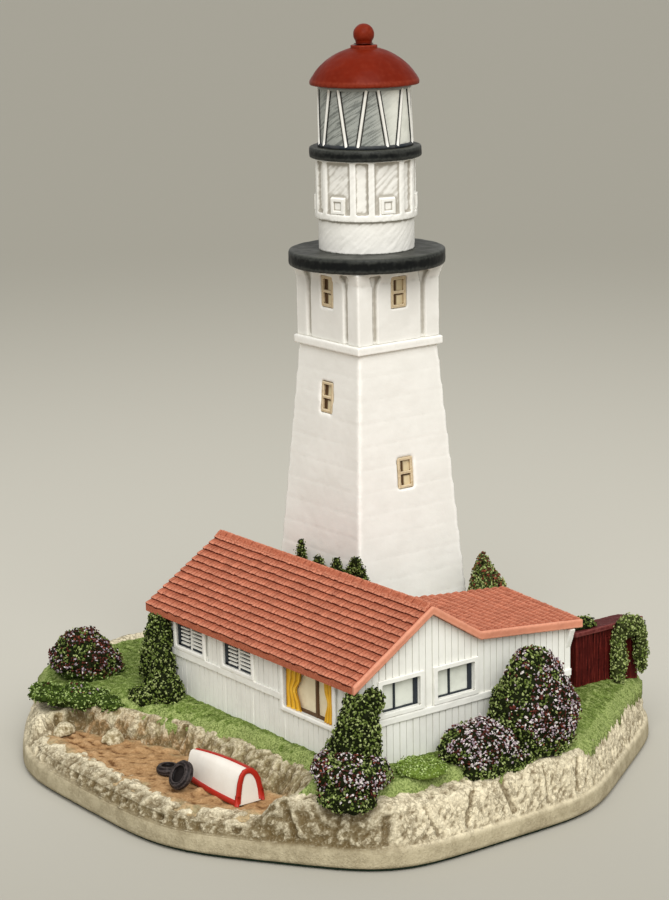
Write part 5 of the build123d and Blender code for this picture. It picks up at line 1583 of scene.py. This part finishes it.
def leaned(points, lean):
    """Points of a plant drawn in on one side: lean is its direction, the move in mm and where it starts."""
    side, move, start = lean
    low, high = points.min(axis=0), points.max(axis=0)
    spread = (points - (low + high) / 2) / (high - low) * 2
    share = step(start, 1.0, spread[:, :2] @ np.asarray(side)) * (spread[:, 2] + 1) / 2
    return points + share[:, None] * np.asarray(move) * MM


def clump(name, node, settings, palette, flowers=(), bloom=0.0, lumps=0.7 * MM, leaf=1.0,
          number=0, dark=None, swells=(), toward=(0, 0, 0), cover=(), lean=None, blooms_from=-0.5,
          nodes=None):
    """A plant: a lumpy dark heart covered in leaves, with petals in patches and other leaves at the foot."""
    rng = np.random.default_rng(settings.seed + number)
    piece = copy_solids(name, [node] if nodes is None else nodes, swells)
    remesh(piece, 0.45 * MM)
    mesh = piece.data
    points = points_of(mesh)
    swell = lumps * (0.6 * fractal(points, 3.0 * MM, 3) + 0.5 * (chunks(points, 2.0 * MM) - 0.7))
    points = points + normals_of(mesh) * swell[:, None]
    move_points(mesh, points if lean is None else leaned(points, lean))
    points = points_of(mesh)
    place, outward = leaf_spots(mesh, settings.leaf_cover / leaf ** 2 / MM ** 2, rng)
    leaves = len(place)
    place = place + rng.normal(0, 0.15 * MM, place.shape)
    place = place + outward * rng.uniform(-0.15, 0.25, (leaves, 1)) * MM
    corners = leaf_corners(place, outward, leaf, settings, rng)
    low, high = points.min(axis=0), points.max(axis=0)
    spread = (place - (low + high) / 2) / (high - low) * 2
    tints = pick_tints(rng, palette, leaves)
    heart = np.tile(np.asarray(settings.leaf_dark if dark is None else dark), (len(points), 1))
    if cover:
        tints = np.where((spread[:, 2] < COVER_HEIGHT)[:, None], pick_tints(rng, cover, leaves), tints)
        foot = points[:, 2] < low[2] + (high[2] - low[2]) * (COVER_HEIGHT + 1) / 2
        heart[foot] = cover[0][0]
    if flowers:
        patch = fractal(place, 3.0 * MM, 2) + spread @ np.asarray(toward)
        likely = bloom * step(-0.35, 0.15, patch) * step(blooms_from, blooms_from + 0.5, spread[:, 2])
        petals = pick_tints(rng, flowers, leaves)
        tints = np.where((rng.random(leaves) < likely)[:, None], petals, tints)
    tints = tints * rng.uniform(0.7, 1.15, (leaves, 1))
    faces = [list(face.vertices) for face in mesh.polygons]
    for index in range(leaves):
        start = len(points) + 6 * index
        faces.extend([start + corner for corner in face] for face in LEAF_FACES)
    vertices = np.concatenate([points, corners.reshape(-1, 3)])
    bpy.data.objects.remove(piece)
    piece = add_object(name, vertices, faces, smooth=False)
    store_tint(piece.data, np.concatenate([heart, np.repeat(tints, 6, axis=0)]))
    material = tinted_paint("Leaf Paint", paint(30, 30, 16), 0.75, 0.0, shine=0.08)
    return settle(piece, material, [node])


def build_plants(settings):
    """All the plants, each with its own leaves and flowers."""
    dark, green, light = tuple(settings.leaf_dark), tuple(settings.leaf_green), tuple(settings.leaf_light)
    maroon, rust = tuple(settings.maroon), tuple(settings.rust)
    petal, lilac = tuple(settings.petal), tuple(settings.lilac)
    leftward = tuple(-part for part in RIGHTWARD)
    shadow = paint(54, 60, 28)
    ivy = ((dark, 0.3), (green, 0.46), (light, 0.24))
    bed = ((dark, 0.3), (green, 0.44), (light, 0.26))
    grass_ivy = ((dark, 0.12), (green, 0.42), (light, 0.46))
    posy = ((maroon, 0.36), (dark, 0.14), (petal, 0.24), (lilac, 0.2), (rust, 0.06))
    grass = ((paint(92, 114, 38), 0.3), (paint(132, 156, 74), 0.42), (paint(186, 206, 132), 0.28))
    hedge = ((paint(50, 66, 20), 0.36), (paint(104, 126, 56), 0.4), (paint(166, 186, 116), 0.24))
    clump("front_corner_ivy_leaves", "front_corner_ivy", settings, ivy, number=1,
          swells=(((37.6, -29.5, 15.5), (2.6, 2.2, 4.5)), ((41.3, -24.8, 25.6), (1.7, 2.2, 2.6))))
    clump("left_corner_ivy_leaves", "left_corner_ivy", settings, ivy, number=2,
          swells=(((-15.0, -30.3, 14.0), (4.6, 3.2, 4.0)), ((-17.0, -29.4, 18.5), (3.0, 2.2, 4.5)),
                  ((-18.0, -33.0, 13.2), (4.0, 3.0, 2.0)), ((-18.2, -28.0, 23.0), (1.8, 1.8, 5.5))),
          lean=(leftward, (1.9, 2.5, 0), -0.2))
    clump("front_flower_bed_leaves", "front_flower_bed", settings, bed, posy, 0.9, number=3,
          swells=(((44.5, -33.0, 12.0), (5.6, 4.6, 2.6)),))
    clump("cone_bush_leaves", "cone_bush", settings, bed, posy, 0.95, number=4,
          toward=(0.35, 0.6, -0.3), blooms_from=-0.95)
    clump("gable_flower_bed_leaves", "gable_flower_bed", settings, bed,
          ((maroon, 0.3), (dark, 0.08), (petal, 0.34), (lilac, 0.24), (rust, 0.04)), 1.0, number=5,
          toward=(0.3, 0.3, 0.3), swells=(((50.0, -4.0, 12.2), (2.6, 8.0, 2.4)),))
    clump("left_bush_leaves", "left_bush", settings, bed,
          ((maroon, 0.46), (dark, 0.2), (petal, 0.08), (lilac, 0.2), (rust, 0.06)), 0.95, number=6,
          cover=hedge, lumps=1.1 * MM, lean=(RIGHTWARD, (0, 0, -5.4), -0.2),
          swells=(((-33.6, -44.2, 12.2), (4.6, 3.4, 1.9)), ((-28.5, -41.2, 12.2), (5.2, 3.6, 1.9)),
                  ((-23.0, -37.6, 12.4), (4.5, 3.2, 1.7))))
    clump("tower_bush_leaves", "tower_bush", settings, grass_ivy,
          ((rust, 0.6), (maroon, 0.4)), 0.4, number=7, dark=shadow,
          lean=(RIGHTWARD, (-4.2, -5.6, -2.0), -1.0))
    clump("shed_ivy_leaves", "shed_ivy", settings, grass_ivy, lumps=0.4 * MM, number=8,
          dark=shadow, nodes=[],
          swells=(((32.0, 43.4, 23.4), (1.7, 3.4, 2.2)), ((31.8, 41.2, 17.4), (1.2, 1.7, 6.6)),
                  ((32.4, 46.3, 18.8), (1.5, 1.2, 5.2))))
    clump("shed_roof_ivy_leaves", "shed_roof_ivy", settings, ivy, lumps=0.3 * MM, number=9)
    clump("spiky_plants_leaves", "spiky_plants", settings,
          ((dark, 0.4), (green, 0.45), (light, 0.15)), lumps=0.1 * MM, leaf=0.7, number=10)
    clump("grass_mound_leaves", "grass_mound", settings, grass, lumps=0.25 * MM, leaf=0.75,
          number=11, dark=paint(104, 124, 50))


def build_floor(settings):
    """The pale floor, with painted shade that makes it a little darker close to the camera and in the
    distance.
    """
    half = 4.0
    corners = [(-half, -half, 0), (half, -half, 0), (half, half, 0), (-half, half, 0)]
    floor = add_object("stage_floor", corners, [(0, 1, 2, 3)])
    material = bpy.data.materials.new("Floor")
    material.use_nodes = True
    tree = material.node_tree
    place = tree.nodes.new("ShaderNodeTexCoord").outputs["Object"]
    behind = (-RIGHTWARD[1], RIGHTWARD[0], 0)
    away = add_node(tree, "ShaderNodeVectorMath", ((0, place), (1, behind)), operation="DOT_PRODUCT")
    # Painted shade: the floor turns darker in front of the figurine and further away.
    close = ramp(tree, away.outputs["Value"], 0.06, -0.1)
    far = add_node(tree, "ShaderNodeVectorMath", ((0, place),), operation="LENGTH").outputs["Value"]
    tone = mix_colours(tree, close, tuple(settings.floor), tuple(settings.floor_close))
    tone = mix_colours(tree, ramp(tree, far, 0.05, 0.66), tone, tuple(settings.floor_far))
    shader = tree.nodes["Principled BSDF"]
    tree.links.new(tone, shader.inputs["Base Color"])
    shader.inputs["Roughness"].default_value = 0.9
    shader.inputs["Specular IOR Level"].default_value = 0.1
    floor.data.materials.append(material)


def build_key_light(settings):
    """A wide soft light from the right."""
    lamp = bpy.data.lights.new("key_light", "SUN")
    lamp.energy = settings.key
    lamp.angle = settings.key_spread
    lamp.color = DAYLIGHT
    holder = bpy.data.objects.new("key_light", lamp)
    holder.rotation_euler = Vector(KEY_FROM).to_track_quat("Z", "Y").to_euler()
    bpy.context.scene.collection.objects.link(holder)


def build_camera(settings):
    """The camera at the photograph's angle."""
    heading, pitch, roll = settings.camera_turn
    level = math.cos(pitch)
    forward = Vector((-math.sin(heading) * level, math.cos(heading) * level, -math.sin(pitch)))
    right = forward.cross(Vector((0, 0, 1))).normalized()
    upright = right.cross(forward)
    side = math.cos(roll) * right + math.sin(roll) * upright
    crown = -math.sin(roll) * right + math.cos(roll) * upright
    data = bpy.data.cameras.new("Camera")
    data.lens = settings.lens
    data.sensor_width = 36
    data.sensor_fit = "AUTO"
    data.clip_start = 0.01
    data.clip_end = 50
    camera = bpy.data.objects.new("Camera", data)
    turn = Matrix((side, crown, -forward)).transposed().to_4x4()
    camera.matrix_world = Matrix.Translation(settings.camera_place) @ turn
    bpy.context.scene.collection.objects.link(camera)
    bpy.context.scene.camera = camera


def build_stage(settings):
    """The floor, the lights, the even sky and the camera."""
    scene = bpy.context.scene
    scene.view_settings.view_transform = "Standard"
    build_floor(settings)
    build_key_light(settings)
    world = bpy.data.worlds.new("Even Sky")
    world.use_nodes = True
    sky = world.node_tree.nodes["Background"]
    sky.inputs["Color"].default_value = (*DAYLIGHT, 1.0)
    sky.inputs["Strength"].default_value = settings.sky
    scene.world = world
    build_camera(settings)


class Builder:
    """What all the build operators share."""

    bl_options = {"REGISTER", "UNDO"}


class LIGHTHOUSE_OT_ground(Builder, bpy.types.Operator):
    """Build the rock base and the felt under it"""

    bl_idname = "lighthouse.ground"
    bl_label = "Rock and Felt"

    def execute(self, context):
        build_felt(context.scene.lighthouse_ground)
        build_rock(context.scene.lighthouse_ground)
        return {"FINISHED"}


class LIGHTHOUSE_OT_beach(Builder, bpy.types.Operator):
    """Build the sand and its boulders"""

    bl_idname = "lighthouse.beach"
    bl_label = "Beach"

    def execute(self, context):
        build_sand(context.scene.lighthouse_ground)
        build_boulders(context.scene.lighthouse_ground)
        return {"FINISHED"}


class LIGHTHOUSE_OT_lawn(Builder, bpy.types.Operator):
    """Build the stippled lawn"""

    bl_idname = "lighthouse.lawn"
    bl_label = "Lawn"

    def execute(self, context):
        build_lawn(context.scene.lighthouse_ground)
        return {"FINISHED"}


class LIGHTHOUSE_OT_tower(Builder, bpy.types.Operator):
    """Build the tower's castings"""

    bl_idname = "lighthouse.tower"
    bl_label = "Tower"

    def execute(self, context):
        build_tower(context.scene.lighthouse_buildings)
        return {"FINISHED"}


class LIGHTHOUSE_OT_lantern(Builder, bpy.types.Operator):
    """Build the lantern's glass and bars"""

    bl_idname = "lighthouse.lantern"
    bl_label = "Lantern"

    def execute(self, context):
        build_lantern(context.scene.lighthouse_buildings)
        return {"FINISHED"}


class LIGHTHOUSE_OT_tower_windows(Builder, bpy.types.Operator):
    """Build the tower's windows and the two doors"""

    bl_idname = "lighthouse.tower_windows"
    bl_label = "Tower Windows and Doors"

    def execute(self, context):
        build_tower_windows(context.scene.lighthouse_buildings)
        return {"FINISHED"}


class LIGHTHOUSE_OT_walls(Builder, bpy.types.Operator):
    """Build the boarded walls and their white trim"""

    bl_idname = "lighthouse.walls"
    bl_label = "House Walls"

    def execute(self, context):
        build_walls(context.scene.lighthouse_buildings)
        build_wall_trim(context.scene.lighthouse_buildings)
        return {"FINISHED"}


class LIGHTHOUSE_OT_house_windows(Builder, bpy.types.Operator):
    """Build the house's windows and curtains"""

    bl_idname = "lighthouse.house_windows"
    bl_label = "House Windows"

    def execute(self, context):
        build_house_windows(context.scene.lighthouse_buildings)
        return {"FINISHED"}


class LIGHTHOUSE_OT_roofs(Builder, bpy.types.Operator):
    """Build the tiled roofs"""

    bl_idname = "lighthouse.roofs"
    bl_label = "Roofs"

    def execute(self, context):
        build_roofs(context.scene.lighthouse_buildings)
        return {"FINISHED"}


class LIGHTHOUSE_OT_shed(Builder, bpy.types.Operator):
    """Build the plank shed"""

    bl_idname = "lighthouse.shed"
    bl_label = "Shed"

    def execute(self, context):
        build_shed(context.scene.lighthouse_buildings)
        return {"FINISHED"}


class LIGHTHOUSE_OT_boat(Builder, bpy.types.Operator):
    """Build the upturned boat and the tyres"""

    bl_idname = "lighthouse.boat"
    bl_label = "Boat and Tyres"

    def execute(self, context):
        build_boat()
        build_tyres()
        return {"FINISHED"}


class LIGHTHOUSE_OT_plants(Builder, bpy.types.Operator):
    """Build the plants"""

    bl_idname = "lighthouse.plants"
    bl_label = "Plants"

    def execute(self, context):
        build_plants(context.scene.lighthouse_plants)
        return {"FINISHED"}


class LIGHTHOUSE_OT_stage(Builder, bpy.types.Operator):
    """Build the floor, the light and the camera"""

    bl_idname = "lighthouse.stage"
    bl_label = "Stage"

    def execute(self, context):
        build_stage(context.scene.lighthouse_stage)
        return {"FINISHED"}


OPERATORS = (
    LIGHTHOUSE_OT_ground, LIGHTHOUSE_OT_beach, LIGHTHOUSE_OT_lawn, LIGHTHOUSE_OT_tower,
    LIGHTHOUSE_OT_lantern, LIGHTHOUSE_OT_tower_windows, LIGHTHOUSE_OT_walls, LIGHTHOUSE_OT_house_windows,
    LIGHTHOUSE_OT_roofs, LIGHTHOUSE_OT_shed, LIGHTHOUSE_OT_boat, LIGHTHOUSE_OT_plants, LIGHTHOUSE_OT_stage,
)
SETTINGS = (
    ("lighthouse_ground", LighthouseGround), ("lighthouse_buildings", LighthouseBuildings),
    ("lighthouse_plants", LighthousePlants), ("lighthouse_stage", LighthouseStage),
)


class LIGHTHOUSE_PT_panel(bpy.types.Panel):
    """The figurine's settings and build steps"""

    bl_idname = "LIGHTHOUSE_PT_panel"
    bl_label = "Lighthouse Figurine"
    bl_space_type = "VIEW_3D"
    bl_region_type = "UI"
    bl_category = "Lighthouse"

    def draw(self, context):
        for attribute, group in SETTINGS:
            column = self.layout.box().column()
            for key in group.__annotations__:
                column.prop(getattr(context.scene, attribute), key)
        for operator in OPERATORS:
            self.layout.operator(operator.bl_idname)


def register():
    """Register the settings, the operators and the panel."""
    for attribute, group in SETTINGS:
        bpy.utils.register_class(group)
        setattr(bpy.types.Scene, attribute, PointerProperty(type=group))
    for operator in OPERATORS:
        bpy.utils.register_class(operator)
    bpy.utils.register_class(LIGHTHOUSE_PT_panel)


def unregister():
    """Take the panel, the operators and the settings away again."""
    bpy.utils.unregister_class(LIGHTHOUSE_PT_panel)
    for operator in reversed(OPERATORS):
        bpy.utils.unregister_class(operator)
    for attribute, group in reversed(SETTINGS):
        delattr(bpy.types.Scene, attribute)
        bpy.utils.unregister_class(group)


def main():
    """Build every piece and the stage."""
    register()
    bpy.ops.lighthouse.ground()
    bpy.ops.lighthouse.beach()
    bpy.ops.lighthouse.lawn()
    bpy.ops.lighthouse.tower()
    bpy.ops.lighthouse.lantern()
    bpy.ops.lighthouse.tower_windows()
    bpy.ops.lighthouse.walls()
    bpy.ops.lighthouse.house_windows()
    bpy.ops.lighthouse.roofs()
    bpy.ops.lighthouse.shed()
    bpy.ops.lighthouse.boat()
    bpy.ops.lighthouse.plants()
    bpy.ops.lighthouse.stage()


if __name__ == "__main__":
    main()
